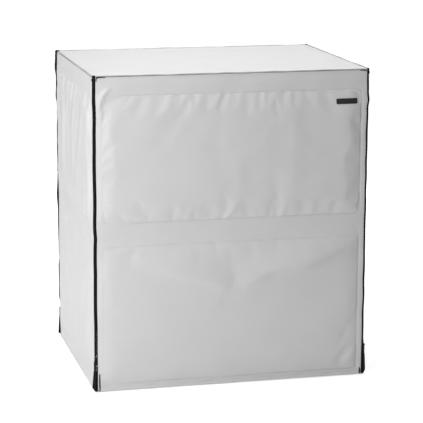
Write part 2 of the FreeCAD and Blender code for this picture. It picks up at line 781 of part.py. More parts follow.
def main():
    fill_sheet()
    make_roof()
    for side in SIDES:
        make_side_wall(side)
    for flap in FLAPS:
        make_upper_flap(flap)
        make_lower_flap(flap)
    make_name_patch()
    make_side_zip_halves()
    make_corner_tape_ends()
    for corner in CORNERS:
        make_slider(corner)
        make_pull_tab(corner)
        make_pull_strap(corner)
    doc.recompute()
    check_all()
    write_files()
    whole = Part.makeCompound([thing.Shape for thing in sub_parts]).BoundBox
    print(f"{len(sub_parts)} sub-parts, box {whole}")


main()
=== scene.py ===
"""The looks of a padded fabric hood with zipped corners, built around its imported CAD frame.

Lengths are metres in the CAD frame: front is -Y, up is +Z, and the hood stands on z = 0.
"""
import math
from collections import namedtuple

import bpy
import numpy as np
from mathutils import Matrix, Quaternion, Vector


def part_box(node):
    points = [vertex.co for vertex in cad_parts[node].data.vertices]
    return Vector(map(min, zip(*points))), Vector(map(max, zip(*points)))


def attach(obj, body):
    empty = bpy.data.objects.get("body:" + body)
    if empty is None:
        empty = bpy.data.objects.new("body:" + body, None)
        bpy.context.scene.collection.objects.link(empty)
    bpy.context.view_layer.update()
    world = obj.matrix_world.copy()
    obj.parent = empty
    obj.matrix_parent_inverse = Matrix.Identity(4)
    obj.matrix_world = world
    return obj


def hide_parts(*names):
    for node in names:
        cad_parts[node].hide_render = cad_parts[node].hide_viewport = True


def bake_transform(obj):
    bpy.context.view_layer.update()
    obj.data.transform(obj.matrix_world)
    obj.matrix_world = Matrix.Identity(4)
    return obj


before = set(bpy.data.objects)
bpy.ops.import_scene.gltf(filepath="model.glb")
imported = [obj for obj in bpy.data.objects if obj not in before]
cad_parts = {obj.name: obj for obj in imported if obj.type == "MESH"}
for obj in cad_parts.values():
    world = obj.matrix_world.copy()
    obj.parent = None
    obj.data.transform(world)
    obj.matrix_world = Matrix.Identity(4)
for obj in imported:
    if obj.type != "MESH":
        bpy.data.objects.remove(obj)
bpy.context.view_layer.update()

MM = 0.001
UP = np.array((0.0, 0.0, 1.0))
OUT = {"front": np.array((0.0, -1.0, 0.0)), "back": np.array((0.0, 1.0, 0.0)),
       "left": np.array((-1.0, 0.0, 0.0)), "right": np.array((1.0, 0.0, 0.0))}
FLAPS, SIDES = ("front", "back"), ("left", "right")
CORNERS = {"front_left": (-1, -1), "front_right": (1, -1),
           "back_left": (-1, 1), "back_right": (1, 1)}
LEVELS = ("lower", "upper")

# Padded fields
FIELD_RISE = 8 * MM       # the foam lifts the fabric this far off the wall's margin
SEAM_GAP = 1.6 * MM       # from a foam pad's edge to the seam round its field
SEAM_RADIUS = 14 * MM     # corners of a field
FIELD_HEIGHT = 6.0 * MM   # the middle of a field over its seam
FOAM_HEIGHT = 4.8 * MM    # the foam, pressed down by its fabric
SIDE_ROLL, TOP_ROLL = 32 * MM, 80 * MM    # the widths over which a field climbs
LOOSE_ROLL = 46 * MM      # the same where it climbs straight from the zip
SAG_REACH = 44 * MM       # a whole wall falls back to its zips over this width
GROOVE, GROOVE_WIDTH = 1.1 * MM, 2.6 * MM
SKIN_CLEAR = 0.25 * MM    # the outer fabric never comes nearer to the foam than this
FOAM_RIM = 0.25 * MM      # thickness of a foam pad at its edge
LINING_CLEAR = 0.3 * MM   # between a foam pad's CAD box and its visible inner face

# How each wall hangs: rise of its fields, fall to its zips at the lower and the higher end of u,
# ends where the fields climb straight from the zip, roll over a lower seam, depth of its seams.
Look = namedtuple("Look", "rise sags loose bottom_roll groove")
SIDE_LOOK = Look(0.55, (2.2 * MM, 0.6 * MM), (True, True), 90 * MM, 0.15)
LOOKS = {"front": Look(1.0, (3.0 * MM, 2.0 * MM), (True, False), 26 * MM, 1.0),
         "back": Look(1.0, (2.4 * MM, 2.4 * MM), (False, False), 26 * MM, 1.0),
         "left": SIDE_LOOK, "right": SIDE_LOOK._replace(sags=(0.6 * MM, 2.2 * MM))}

# Grid of the wall fabric
FINE, COARSE, BAND_CELL, LINING_CELL = 2.4 * MM, 8 * MM, 5 * MM, 9.6 * MM
FOAM_ROLL = 4 * FINE      # the finely divided rim of a foam pad
TURN_IN = 7 * MM          # fabric turned in behind a cut edge

# Folding line and corners
SWAY_REACH = 42 * MM      # how far from a corner the fabric moves with its zip
ZIP_HALF = 5.9 * MM       # half the width of a zip, tapes included
PIPING_CORNER = 7 * MM    # the piping's radius round a corner of the roof

Wall = namedtuple("Wall", "name out along edge plane low high fields")
Field = namedtuple("Field", "half low high")


# ---------------------------------------------------------------- frame
def span(nodes):
    """Lowest and highest corner of several CAD nodes."""
    boxes = [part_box(node) for node in nodes]
    low = Vector([min(b[0][i] for b in boxes) for i in range(3)])
    high = Vector([max(b[1][i] for b in boxes) for i in range(3)])
    return low, high


def skin_nodes(name):
    if name in SIDES:
        return [f"{name}_wall_outer_skin"]
    return [f"{name}_{level}_outer_skin" for level in LEVELS]


def reach(direction, low, high):
    """How far a box reaches from the middle of the frame along or against a direction."""
    return float(max(abs(direction.dot(low)), abs(direction.dot(high))))


def inner_face(wall, low, high):
    """Height over the wall's plane of the face of a box that looks into the hood."""
    return float(min(abs(wall.out.dot(low)), abs(wall.out.dot(high)))) - wall.plane


def wall_from_frame(name):
    out = OUT[name]
    along = np.cross(UP, out)
    low, high = span(skin_nodes(name))
    fields = []
    for level in LEVELS:
        pad_low, pad_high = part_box(f"{name}_{level}_foam_pad")
        half = reach(along, pad_low, pad_high) + SEAM_GAP
        fields.append(Field(half, pad_low.z - SEAM_GAP, pad_high.z + SEAM_GAP))
    plane = reach(out, low, high) - FIELD_RISE
    return Wall(name, out, along, reach(along, low, high), plane, low.z, high.z, fields)


WALLS = {name: wall_from_frame(name) for name in OUT}


def corner_point(corner):
    """Middle of the corner's slanting zip, on its outer face, at z = 0."""
    sx, sy = CORNERS[corner]
    flap, side = WALLS["front"], WALLS["left"]
    return np.array((sx * (flap.edge + side.plane) / 2, sy * (side.edge + flap.plane) / 2, 0.0))


def corner_axes(corner):
    """Outward and sideways directions of the corner's zip; sideways points to the side wall."""
    sx, sy = CORNERS[corner]
    return np.array((sx, sy, 0)) / math.sqrt(2), np.array((sx, -sy, 0)) / math.sqrt(2)


# ---------------------------------------------------------------- shapes
def smooth(t):
    t = np.clip(t, 0, 1)
    return t * t * (3 - 2 * t)


def bump(value, middle, width):
    return np.exp(-(((value - middle) / width) ** 2))


def waves(seed, lengths, *coordinates):
    """Smooth noise about zero: one wave for each length, in a direction and phase of its own."""
    rng = np.random.default_rng(seed)
    total = 0.0
    for length in lengths:
        direction = rng.normal(size=len(coordinates))
        direction /= np.linalg.norm(direction)
        phase = rng.uniform(0, 2 * math.pi)
        path = sum(d * c for d, c in zip(direction, coordinates))
        total = total + np.sin(2 * math.pi * path / length + phase)
    return total / math.sqrt(len(lengths))


def lines(*spans):
    """Positions from span to span, each span a start, an end and a step."""
    out = []
    for start, end, step in spans:
        count = max(1, round((end - start) / step))
        out.extend(np.linspace(start, end, count + 1)[:-1])
    return np.array(out + [spans[-1][1]])


def wall_lines(wall):
    """Grid lines across and up a wall, closer together round the seams."""
    half = wall.fields[0].half
    roll = 5 * FINE
    across = lines((-wall.edge, -half + roll, FINE), (-half + roll, half - roll, COARSE),
                   (half - roll, wall.edge, FINE))
    low, high = wall.fields
    up = lines((wall.low, low.low + roll, FINE), (low.low + roll, low.high - roll, COARSE),
               (low.high - roll, low.high + roll, FINE),
               (low.high + roll, high.low - roll, BAND_CELL),
               (high.low - roll, high.low + roll, FINE),
               (high.low + roll, high.high - roll, COARSE),
               (high.high - roll, high.high + roll, FINE),
               (high.high + roll, wall.high, BAND_CELL))
    return across, up


def seam_distance(u, z, field):
    """Distance inside the field's rounded outline; negative outside."""
    dx = field.half - np.abs(u)
    dz = (field.high - field.low) / 2 - np.abs(z - (field.high + field.low) / 2)
    corner = np.hypot(np.maximum(SEAM_RADIUS - dx, 0), np.maximum(SEAM_RADIUS - dz, 0))
    return np.where(corner > 0, SEAM_RADIUS - corner, np.minimum(dx, dz))


def climb(distance, width):
    """From 0 at a seam to 1 at that width, steepest at the seam."""
    return 1 - (1 - np.clip(distance / width, 0, 1)) ** 2


def pillow(wall, u, z, field, gap=0.0):
    """Share of a field's full height: a long slope under its top seam, a short one below."""
    look = LOOKS[wall.name]
    share = climb(field.high - gap - z, TOP_ROLL) * climb(z - field.low - gap, look.bottom_roll)
    for way, loose in zip((-1, 1), look.loose):
        share = share * (climb(wall.edge - gap - way * u, LOOSE_ROLL) if loose else
                         climb(field.half - gap - way * u, SIDE_ROLL))
    return share


def lining_face(wall):
    """Height over the wall's plane of the foam's inner face, which lies on the lining."""
    return inner_face(wall, *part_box(f"{wall.name}_upper_foam_pad")) + LINING_CLEAR


def foam_top(wall, u, z, field):
    height = FOAM_HEIGHT * LOOKS[wall.name].rise * pillow(wall, u, z, field, SEAM_GAP)
    return np.maximum(height, lining_face(wall) + FOAM_RIM)


def wall_sag(wall, u, z):
    """The bow of the whole wall between its zips, which fades at its top and its hem."""
    ends = smooth((z - 0.018) / 0.04) * smooth((wall.high - z) / 0.03)
    low, high = LOOKS[wall.name].sags
    bow = low + (high - low) * (u + wall.edge) / (2 * wall.edge)
    return bow * climb(wall.edge + u, SAG_REACH) * climb(wall.edge - u, SAG_REACH) * ends


def path_distance(u, z, path):
    """Signed distance to a path, and the place along it from 0 to 1."""
    best = np.full(u.shape, 9.0)
    side = np.ones(u.shape)
    place = np.zeros(u.shape)
    lengths = [math.dist(a, b) for a, b in zip(path, path[1:])]
    done = 0.0
    for (a, b), length in zip(zip(path, path[1:]), lengths):
        du, dz = (b[0] - a[0]) / length, (b[1] - a[1]) / length
        t = (u - a[0]) * du + (z - a[1]) * dz
        held = np.clip(t, 0, length)
        distance = np.hypot(u - a[0] - held * du, z - a[1] - held * dz)
        nearer = distance < best
        best = np.where(nearer, distance, best)
        cross = (u - a[0]) * dz - (z - a[1]) * du
        side = np.where(nearer, np.sign(cross), side)
        place = np.where(nearer, (done + t) / sum(lengths), place)
        done += length
    return best * side, place


def fold(u, z, path, width, height, other_width=None, pucker=False):
    """A ridge along a path, or a valley if height is negative. width is on its right, looking
    along the path, and other_width on its left. It fades at both ends, or if it is a pucker
    it starts strong at a seam and only its far end fades."""
    distance, place = path_distance(u, z, path)
    place = np.clip(place, 0, 1)
    fade = (1 - place) ** 1.4 if pucker else np.sin(math.pi * place) ** 0.7
    wide = np.where(distance > 0, width, other_width or width)
    return height * fade * np.exp(-((distance / wide) ** 2))


Fold = namedtuple("Fold", "path width height other_width pucker")


def crease(path, width, height, other_width=None, pucker=False):
    """A fold given in mm: a path of places across and up the wall, its width and its height."""
    return Fold([(u / 1000, z / 1000) for u, z in path], width * MM, height * MM,
                other_width and other_width * MM, pucker)


# Folds of the front that are worth naming
FRONT_FOLDS = [
    # two bright folds from the zip's top into the upper field's corner
    crease([(-360, 892), (-380, 872), (-399, 846)], 6, 4.2, 8),
    crease([(-376, 866), (-390, 846), (-401, 820)], 6, 3.6, 8),
    crease([(-379, 836), (-398, 800)], 8, 1.2),
    # long soft hollows and swells of the upper field
    crease([(-255, 856), (-310, 805), (-360, 742)], 24, -2),
    crease([(-136, 858), (-180, 790), (-228, 705)], 26, -2.2),
    crease([(-30, 840), (-52, 740), (-46, 600)], 26, -1.6),
    crease([(10, 700), (20, 600), (5, 510)], 22, 1.6),
    crease([(172, 850), (184, 700), (168, 510)], 28, 2.2),
    crease([(120, 640), (128, 560), (124, 504)], 18, -1.8),
    crease([(200, 800), (240, 740), (290, 700)], 24, -1.4),
    crease([(330, 800), (346, 660), (330, 540)], 24, 1.2),
    # a bent pucker on the upper field's lower seam
    crease([(-20, 500), (2, 528), (20, 566)], 7, 2.8, 10, True),
    # the lower field's swag, which hangs between its two upper corners
    crease([(386, 430), (312, 392), (220, 352), (112, 342), (20, 300)], 52, 13, 19),
    crease([(-10, 292), (-88, 330), (-196, 360), (-300, 392)], 48, 9, 19),
    crease([(-30, 272), (-50, 246), (-80, 216)], 12, 1.8, 20),
    crease([(384, 400), (360, 330), (350, 250)], 20, -1.4),
    crease([(-380, 414), (-340, 412), (-290, 424)], 10, 1.6),
    # diagonals at the lower field's right-hand corner, dents along its left edge
    crease([(376, 120), (352, 78), (318, 44)], 10, -4.4, 16),
    crease([(380, 92), (360, 58), (336, 30)], 10, 3, 12),
    crease([(378, 198), (356, 142), (326, 90)], 12, -3, 18),
    crease([(380, 290), (366, 236), (350, 180)], 14, -1, 16),
    crease([(-384, 240), (-352, 232), (-330, 216)], 14, -1.6, 18),
    crease([(-384, 180), (-350, 166), (-318, 160)], 14, -1.2, 18),
    crease([(180, 22), (196, 60), (206, 110)], 12, 1, 16, True),
]
# Its ripples, which hang from a seam, and its puckers, which stand on one, by the seam's height in
# mm: place, place and height of the tip, width, height, and width on the other side.
FRONT_PUCKERS = {
    866: [(-186, -212, 812, 8, 2, 10), (-140, -172, 806, 7, 2.2, 10),
          (-98, -118, 820, 9, 1.2, 12), (-26, -52, 800, 6, -2, 8), (-42, -68, 806, 7, 1.6, 9),
          (22, 12, 826, 7, 1.2, 9), (77, 68, 824, 5, -2.2, 7), (90, 84, 820, 6, 1.8, 8),
          (153, 136, 836, 6, -1.8, 8), (166, 152, 822, 7, 1.6, 9),
          (214, 226, 824, 8, -1.2, 10), (-290, -306, 830, 9, 1, 12)],
    500: [(-254, -250, 530, 6, -1.6, 8), (-180, -176, 535, 6, -1.8, 8),
          (-132, -126, 545, 8, 1.4, 10), (-34, -14, 534, 6, -2.4, 8), (62, 66, 530, 7, 1.4, 9),
          (108, 112, 534, 6, -2.2, 7), (134, 132, 530, 5, -2.2, 7), (150, 154, 546, 6, 2.2, 8),
          (236, 240, 534, 7, 1.8, 9), (206, 204, 530, 7, -1.4, 9), (300, 306, 526, 8, -1, 10)],
    430: [(132, 132, 394, 6, -2.2, 8), (-51, -55, 400, 6, -2, 8)],
}
FRONT_FOLDS += [crease([(place, seam), (tip, end)], width, height, other_width, True)
                for seam, rows in FRONT_PUCKERS.items()
                for place, tip, end, width, height, other_width in rows]
# Folds of the left wall, where u runs from the back edge to the front edge.
SIDE_FOLDS = [
    crease([(-180, 866), (-150, 760), (-160, 620), (-140, 520)], 18, 2.4),
    crease([(-60, 866), (-80, 740), (-50, 600)], 16, 2.2),
    crease([(60, 860), (20, 720), (10, 560)], 18, 2),
    crease([(190, 860), (160, 760), (90, 640), (60, 520)], 20, 2.2),
    crease([(-110, 860), (-112, 720), (-100, 560)], 16, -2),
    crease([(120, 850), (100, 740), (40, 620)], 18, -1.6),
    crease([(-280, 420), (-180, 370), (-60, 290), (20, 200)], 24, 2.8),
    crease([(-240, 330), (-120, 250), (-20, 150)], 22, 2.2),
    crease([(270, 410), (180, 300), (120, 190), (80, 90)], 24, 2.4),
    crease([(130, 420), (60, 360), (-20, 330)], 18, -2),
    crease([(-50, 200), (60, 130), (160, 60)], 20, -1.8),
    crease([(250, 200), (220, 120), (230, 50)], 16, 1.8),
]


def seeded_puckers(seed, field, count, lean):
    """Short folds that run into a field from its upper and lower seams."""
    rng = np.random.default_rng(seed)
    folds = []
    for seam, way in ((field.high, -1), (field.low, 1)):
        for place in np.linspace(-0.92, 0.92, count):
            x = (place + rng.uniform(-0.4, 0.4) / count) * field.half
            length = rng.uniform(0.014, 0.042)
            tip = (x + lean * way * length + rng.uniform(-0.006, 0.006), seam + way * length)
            height = rng.choice([-1, 1]) * rng.uniform(0.0004, 0.0011)
            folds.append(Fold([(x, seam), tip], rng.uniform(0.005, 0.009), height, None, True))
    return folds


def wall_folds(name):
    fields = WALLS[name].fields
    if name == "front":
        return FRONT_FOLDS + seeded_puckers(3, fields[0], 9, 0.2)
    own = [f._replace(height=f.height * 1.35) for f in SIDE_FOLDS]
    if name in ("right", "back"):
        scale = fields[0].half / WALLS["left"].fields[0].half
        own = [f._replace(path=[(-x * scale, z) for x, z in f.path]) for f in own]
    seed = list(OUT).index(name) * 7 + 11
    count = round(fields[0].half / 0.032)
    return own + [p for k in (0, 1) for p in seeded_puckers(seed + k, fields[k], count, 0.3)]


def wall_relief(wall, u, z):
    """Height of the outer fabric over the wall's margin plane, before it settles."""
    total = wall_sag(wall, u, z)
    height = FIELD_HEIGHT * LOOKS[wall.name].rise
    total = total + height * sum(pillow(wall, u, z, field) for field in wall.fields)
    inside = sum(smooth(seam_distance(u, z, f) / (4 * MM)) for f in wall.fields)
    for f in wall_folds(wall.name):
        ridge = fold(u, z, f.path, f.width, f.height, f.other_width, f.pucker)
        total = total + ridge * np.clip(inside + (0.25 if f.pucker else 1), 0, 1)
    seed = list(OUT).index(wall.name)
    total = total + 0.0007 * waves(seed + 40, [0.31, 0.22, 0.17, 0.41, 0.26], u, z) * inside
    total = total + 0.0003 * waves(seed + 50, [0.07, 0.11, 0.09, 0.14], u, z)
    return total


# ---------------------------------------------------------------- meshes
def make_object(name, vertices, faces, material, cloth=None):
    """A mesh object. cloth is each vertex's place on the flat cloth, which the weave follows."""
    mesh = bpy.data.meshes.new(name)
    mesh.from_pydata(np.asarray(vertices).tolist(), [], np.asarray(faces).tolist())
    mesh.polygons.foreach_set("use_smooth", np.ones(len(mesh.polygons), bool))
    flat = np.asarray(vertices if cloth is None else cloth, np.float32)
    layer = mesh.attributes.new("cloth", "FLOAT_VECTOR", "POINT")
    layer.data.foreach_set("vector", flat.ravel())
    mesh.materials.append(material)
    piece = bpy.data.objects.new(name, mesh)
    bpy.context.scene.collection.objects.link(piece)
    return piece


def grid_faces(columns, rows, wrap=False):
    """Quads over a grid whose points are stored column by column."""
    last = columns if wrap else columns - 1
    i, j = np.meshgrid(np.arange(last), np.arange(rows - 1), indexing="ij")
    i, j = i.ravel(), j.ravel()
    k = (i + 1) % columns
    return np.stack([i * rows + j, k * rows + j, k * rows + j + 1, i * rows + j + 1], 1)


def refine(grid):
    """One smooth subdivision of a grid of points, which keeps its border."""
    for axis in (0, 1):
        points = np.moveaxis(grid, axis, 0)
        out = np.empty((2 * len(points) - 1,) + points.shape[1:])
        out[1::2] = (points[:-1] + points[1:]) / 2
        out[0], out[-1] = points[0], points[-1]
        out[2:-1:2] = (points[:-2] + 6 * points[1:-1] + points[2:]) / 8
        grid = np.moveaxis(out, 0, axis)
    return grid


def on_wall(wall, u, z, height):
    """Points over a wall, from places across and up it and heights over its margin plane."""
    points = u[..., None] * wall.along + (wall.plane + height)[..., None] * wall.out
    return points + z[..., None] * UP


def corner_sway(corner, z):
    """How a corner's zip drifts outwards and sideways on its way up."""
    live = smooth((z - 0.13) / 0.08) * smooth((0.905 - z) / 0.05)
    seed = list(CORNERS).index(corner)
    outward = 0.0005 * waves(seed + 70, [0.09, 0.16, 0.27], z)
    sideways = 0.0006 * waves(seed + 80, [0.12, 0.2, 0.33], z)
    if corner == "front_left":
        sideways = sideways - 0.0012 * bump(z, 0.457, 0.012)
    if corner == "front_right":
        outward = outward + 0.0020 * bump(z, 0.832, 0.014) + 0.0010 * bump(z, 0.78, 0.03)
        sideways = sideways + 0.0030 * bump(z, 0.832, 0.014) + 0.0008 * bump(z, 0.78, 0.03)
    return outward * live, sideways * live


def sway(points):
    """Moves points that are close to a corner with its zip."""
    flat = np.array(points, float).reshape(-1, 3)
    for corner in CORNERS:
        middle, (out, side) = corner_point(corner), corner_axes(corner)
        distance = np.hypot(flat[:, 0] - middle[0], flat[:, 1] - middle[1])
        near = smooth(1 - (distance - ZIP_HALF) / SWAY_REACH)
        outward, sideways = corner_sway(corner, flat[:, 2])
        flat += (near * outward)[:, None] * out + (near * sideways)[:, None] * side
    return flat.reshape(np.shape(points))


def loop_sweep(path, sides, ups, profile, capped=True):
    """Vertices and quads of a closed profile carried along a path. profile is points across
    (along sides) and up (along ups), which are one direction or one for each point of the path.
    An even number of points lets quads close its ends."""
    path, profile = np.asarray(path, float), np.asarray(profile, float)
    if profile.ndim == 2:
        profile = np.broadcast_to(profile, (len(path),) + profile.shape)
    vertices = (path[None] + profile[:, :, 0].T[..., None] * np.asarray(sides)[None]
                + profile[:, :, 1].T[..., None] * np.asarray(ups)[None])
    points, rows = vertices.shape[:2]
    faces = grid_faces(points, rows, wrap=True)
    if capped:
        for row, turn in ((0, 1), (rows - 1, -1)):
            for k in range((points - 2) // 2):
                ring = [k, k + 1, points - 2 - k, points - 1 - k]
                faces = np.vstack([faces, np.array(ring[::turn]) * rows + row])
    return vertices.reshape(-1, 3), faces


def join(parts):
    """One shape from several: vertices, faces and, where parts have them, cloth places."""
    vertices, faces, *cloth = zip(*parts)
    starts = np.cumsum([0] + [len(part) for part in vertices[:-1]])
    faces = np.vstack([part + start for part, start in zip(faces, starts)])
    return np.vstack(vertices), faces, *map(np.vstack, cloth)


def circle(radius, count, squash=1.0):
    angles = np.arange(count) * 2 * math.pi / count
    return np.stack([radius * np.cos(angles), squash * radius * np.sin(angles)], 1)


def scatter(template, origins, x_axes, y_axes, z_axes):
    """Copies of a small template, one at each origin, in that place's own axes."""
    points, faces = template
    x, y, z = (np.broadcast_to(axes, origins.shape)[:, None] for axes in (x_axes, y_axes, z_axes))
    vertices = (origins[:, None] + points[None, :, 0:1] * x
                + points[None, :, 1:2] * y + points[None, :, 2:3] * z)
    steps = np.arange(len(origins))[:, None, None] * len(points)
    return vertices.reshape(-1, 3), (faces[None] + steps).reshape(-1, 4)


# ---------------------------------------------------------------- materials
class Paint:
    """A Principled material whose colour, roughness and bump come from a few textures."""

    def __init__(self, name, roughness=0.5, from_cloth=True, **sockets):
        self.material = bpy.data.materials.new(name)
        self.material.use_nodes = True
        self.tree = self.material.node_tree
        self.shader = self.tree.nodes["Principled BSDF"]
        self.shader.inputs["Roughness"].default_value = roughness
        for socket, value in sockets.items():
            self.shader.inputs[socket.replace("_", " ")].default_value = value
        if from_cloth:
            self.place = self.node("ShaderNodeAttribute", attribute_name="cloth").outputs["Vector"]
        else:
            self.place = self.node("ShaderNodeTexCoord").outputs["Object"]
        self.normal = None

    def node(self, kind, inputs=None, **settings):
        made = self.tree.nodes.new(kind)
        for key, value in settings.items():
            setattr(made, key, value)
        for key, value in (inputs or {}).items():
            if isinstance(value, bpy.types.NodeSocket):
                self.tree.links.new(value, made.inputs[key])
            else:
                made.inputs[key].default_value = value
        return made

    def noise(self, scale, detail):
        inputs = {"Vector": self.place, "Scale": scale, "Detail": detail}
        return self.node("ShaderNodeTexNoise", inputs).outputs["Fac"]

    def threads(self, period, direction):
        """Parallel threads that many metres apart."""
        scale = 2 * math.pi / (20 * period)
        made = self.node("ShaderNodeTexWave", {"Vector": self.place, "Scale": scale},
                         wave_type="BANDS", bands_direction=direction, wave_profile="SIN")
        return made.outputs["Fac"]

    def weave(self, period, other_period=None):
        across = self.threads(period, "X")
        up = self.threads(other_period or period, "Y")
        return self.node("ShaderNodeMath", {0: across, 1: up}, operation="MULTIPLY").outputs[0]

    def colour(self, factor, low, high, start=0.3, end=0.7):
        made = self.node("ShaderNodeValToRGB", {"Fac": factor})
        for stop, place, tone in zip(made.color_ramp.elements, (start, end), (low, high)):
            stop.position = place
            stop.color = (*tone, 1)
        self.tree.links.new(made.outputs["Color"], self.shader.inputs["Base Color"])

    def rough(self, factor, low, high):
        made = self.node("ShaderNodeMapRange", {"Value": factor, "To Min": low, "To Max": high})
        self.tree.links.new(made.outputs["Result"], self.shader.inputs["Roughness"])

    def raise_by(self, height, distance, strength=1.0):
        inputs = {"Height": height, "Distance": distance, "Strength": strength}
        if self.normal is not None:
            inputs["Normal"] = self.normal
        self.normal = self.node("ShaderNodeBump", inputs).outputs["Normal"]
        self.tree.links.new(self.normal, self.shader.inputs["Normal"])
        return self


def coated_fabric(name, low, high, rough=(0.40, 0.56), grain=1.0):
    """Plastic-coated polyester: a faint weave under a satin coat, slightly cloudy."""
    paint = Paint(name, Specular_IOR_Level=0.42, Coat_Weight=0.06, Coat_Roughness=0.35)
    paint.colour(paint.noise(9, 4), low, high)
    paint.rough(paint.noise(38, 3), *rough)
    paint.raise_by(paint.noise(55, 2), 0.0006 * grain, 0.35)
    paint.raise_by(paint.weave(0.0011), 0.00007 * grain, 0.5)
    return paint.material


def surface(name, clouds, tones, gloss, rough, relief, height, strength, **sockets):
    """Noise in the colour and in the gloss, and one relief. clouds and gloss are the scale and
    the detail of their noise, and tones two colours, with their places on the ramp or without."""
    paint = Paint(name, **sockets)
    paint.colour(paint.noise(*clouds), *tones)
    paint.rough(paint.noise(*gloss), *rough)
    return paint.raise_by(relief(paint), height, strength).material


def foam_cells(paint):
    cells = paint.node("ShaderNodeTexVoronoi", {"Vector": paint.place, "Scale": 520.0})
    return cells.outputs["Distance"]


def plastic(name, tones, rough, shine=0.5):
    return surface(name, (240, 3), tones, (500, 3), rough, lambda paint: paint.noise(900, 2),
                   0.00006, 0.5, Specular_IOR_Level=shine)


def thread(name, tones):
    return surface(name, (900, 2), tones, (800, 2), (0.45, 0.65),
                   lambda paint: paint.threads(0.0005, "X"), 0.00006, 0.6,
                   Specular_IOR_Level=0.35, Sheen_Weight=0.1)


GREY = 0.70
MATERIALS = {
    "wall_fabric": coated_fabric("wall_coated_fabric", (GREY - 0.012,) * 3,
                                 (GREY + 0.010, GREY + 0.012, GREY + 0.010)),
    # the roof is the walls' fabric painted a little lighter: painted light for the light that falls on
    # the roof from above
    "roof_fabric": coated_fabric("roof_cloth_painted_lighter", (GREY,) * 3, (GREY + 0.02,) * 3),
    "lining": coated_fabric("lining_fabric", (0.58, 0.58, 0.585), (0.63, 0.63, 0.635),
                            (0.5, 0.68), 1.4),
    "foam": surface("foam_cells", (60, 4), ((0.55, 0.53, 0.45), (0.68, 0.66, 0.58)), (90, 2),
                    (0.85, 0.98), foam_cells, 0.0006, 0.8, Specular_IOR_Level=0.15),
    "binding": coated_fabric("hem_binding", (GREY + 0.015,) * 3, (GREY + 0.035,) * 3,
                             (0.45, 0.6), 1.3),
    "piping": plastic("piping_cord", ((0.38,) * 3, (0.46,) * 3), (0.4, 0.55)),
    "zip_tape": surface("zip_tape_weave", (700, 3), ((0.005, 0.005, 0.0055), (0.013, 0.013, 0.014)),
                        (400, 2), (0.7, 0.88), lambda paint: paint.weave(0.0006, 0.0009),
                        0.00012, 0.8, Specular_IOR_Level=0.12),
    "zip_coil": plastic("coil_nylon", ((0.007, 0.007, 0.0075), (0.016, 0.016, 0.017)),
                        (0.62, 0.78), 0.1),
    # black lacquer over zinc, worn to a greyer tone where it is handled
    "zip_metal": surface("slider_lacquer", (160, 5),
                         ((0.006, 0.006, 0.0065), (0.026, 0.026, 0.027), 0.5, 0.85),
                         (320, 3), (0.45, 0.65), lambda paint: paint.noise(450, 3),
                         0.00008, 0.5, from_cloth=False, Specular_IOR_Level=0.22,
                         Coat_Weight=0.08, Coat_Roughness=0.4),
    "strap_webbing": surface("strap_weave", (500, 3), ((0.005, 0.005, 0.0055), (0.014, 0.014, 0.015)),
                             (300, 2), (0.65, 0.85), lambda paint: paint.weave(0.0013, 0.0008),
                             0.00025, 0.9, Specular_IOR_Level=0.14),
    "patch": surface("patch_rubber", (300, 4), ((0.018, 0.018, 0.019), (0.040, 0.040, 0.042)),
                     (260, 3), (0.48, 0.7), lambda paint: paint.weave(0.0009), 0.0001, 0.7,
                     Specular_IOR_Level=0.35),
    "thread": thread("grey_thread", ((0.60,) * 3, (0.68,) * 3)),
    "black_thread": thread("black_thread", ((0.012,) * 3, (0.03,) * 3)),
}


# ---------------------------------------------------------------- cloth simulation
def settle(points, held, push, growth, frames=20):
    """Lets a sheet swell under a light pressure while its seams are held, and gives its new
    points. The cloth is cut a little larger than its frame, so that it wrinkles at the seams."""
    columns, rows = points.shape[:2]
    piece = make_object("settling_sheet", points.reshape(-1, 3), grid_faces(columns, rows),
                        MATERIALS["wall_fabric"])
    group = piece.vertex_groups.new(name="held")
    strength = np.clip(np.round(held.ravel() * 10) / 10, 0, 1)
    for value in np.unique(strength):
        if value > 0:
            members = np.nonzero(strength == value)[0].tolist()
            group.add(members, float(value), "REPLACE")
    cloth = piece.modifiers.new("cloth", "CLOTH")
    settings = cloth.settings
    settings.quality = 5
    settings.mass = 0.3
    settings.tension_stiffness = settings.compression_stiffness = 18
    settings.shear_stiffness = 9
    settings.bending_stiffness = 2.5
    settings.vertex_group_mass = "held"
    settings.shrink_min = -growth
    settings.use_pressure = True
    settings.uniform_pressure_force = push
    settings.effector_weights.gravity = 0
    cloth.collision_settings.use_collision = False
    scene = bpy.context.scene
    for step in range(1, frames + 1):
        scene.frame_set(step)
    shaped = piece.evaluated_get(bpy.context.evaluated_depsgraph_get())
    moved = np.empty(columns * rows * 3)
    shaped.data.vertices.foreach_get("co", moved)
    bpy.data.objects.remove(piece)
    scene.frame_set(1)
    return moved.reshape(points.shape)


def no_further(moved, start, most):
    """moved, but with no point further than most from where it started."""
    step = moved - start
    length = np.linalg.norm(step, axis=-1, keepdims=True)
    return start + step * np.minimum(1, most / np.maximum(length, 1e-9))


# ---------------------------------------------------------------- wall fabric
PUSH, GROWTH, SETTLE_CAP = 0.35, 0.005, 4 * MM      # pressure, extra cloth, furthest it moves
LOWER_SHARE = 0.35              # the lower fields wrinkle this much as deeply as the upper ones
SKINS = {}                      # name: the fine grid of a wall's fabric or lining, with its lines


def make_piece(name, shape, look, nodes=()):
    """A piece in the place of CAD nodes. shape is its vertices, its faces and, if they differ
    from the vertices, their places on the flat cloth."""
    vertices, faces, *cloth = shape
    piece = make_object(name, vertices, faces, MATERIALS[look], *cloth)
    if nodes:
        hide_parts(*nodes)
    return piece


def sheet_shape(points, cloth=None, inward=False):
    """The shape of a grid of points; inward turns its faces into the hood."""
    faces = grid_faces(*points.shape[:2])
    return points.reshape(-1, 3), faces[:, ::-1] if inward else faces, cloth


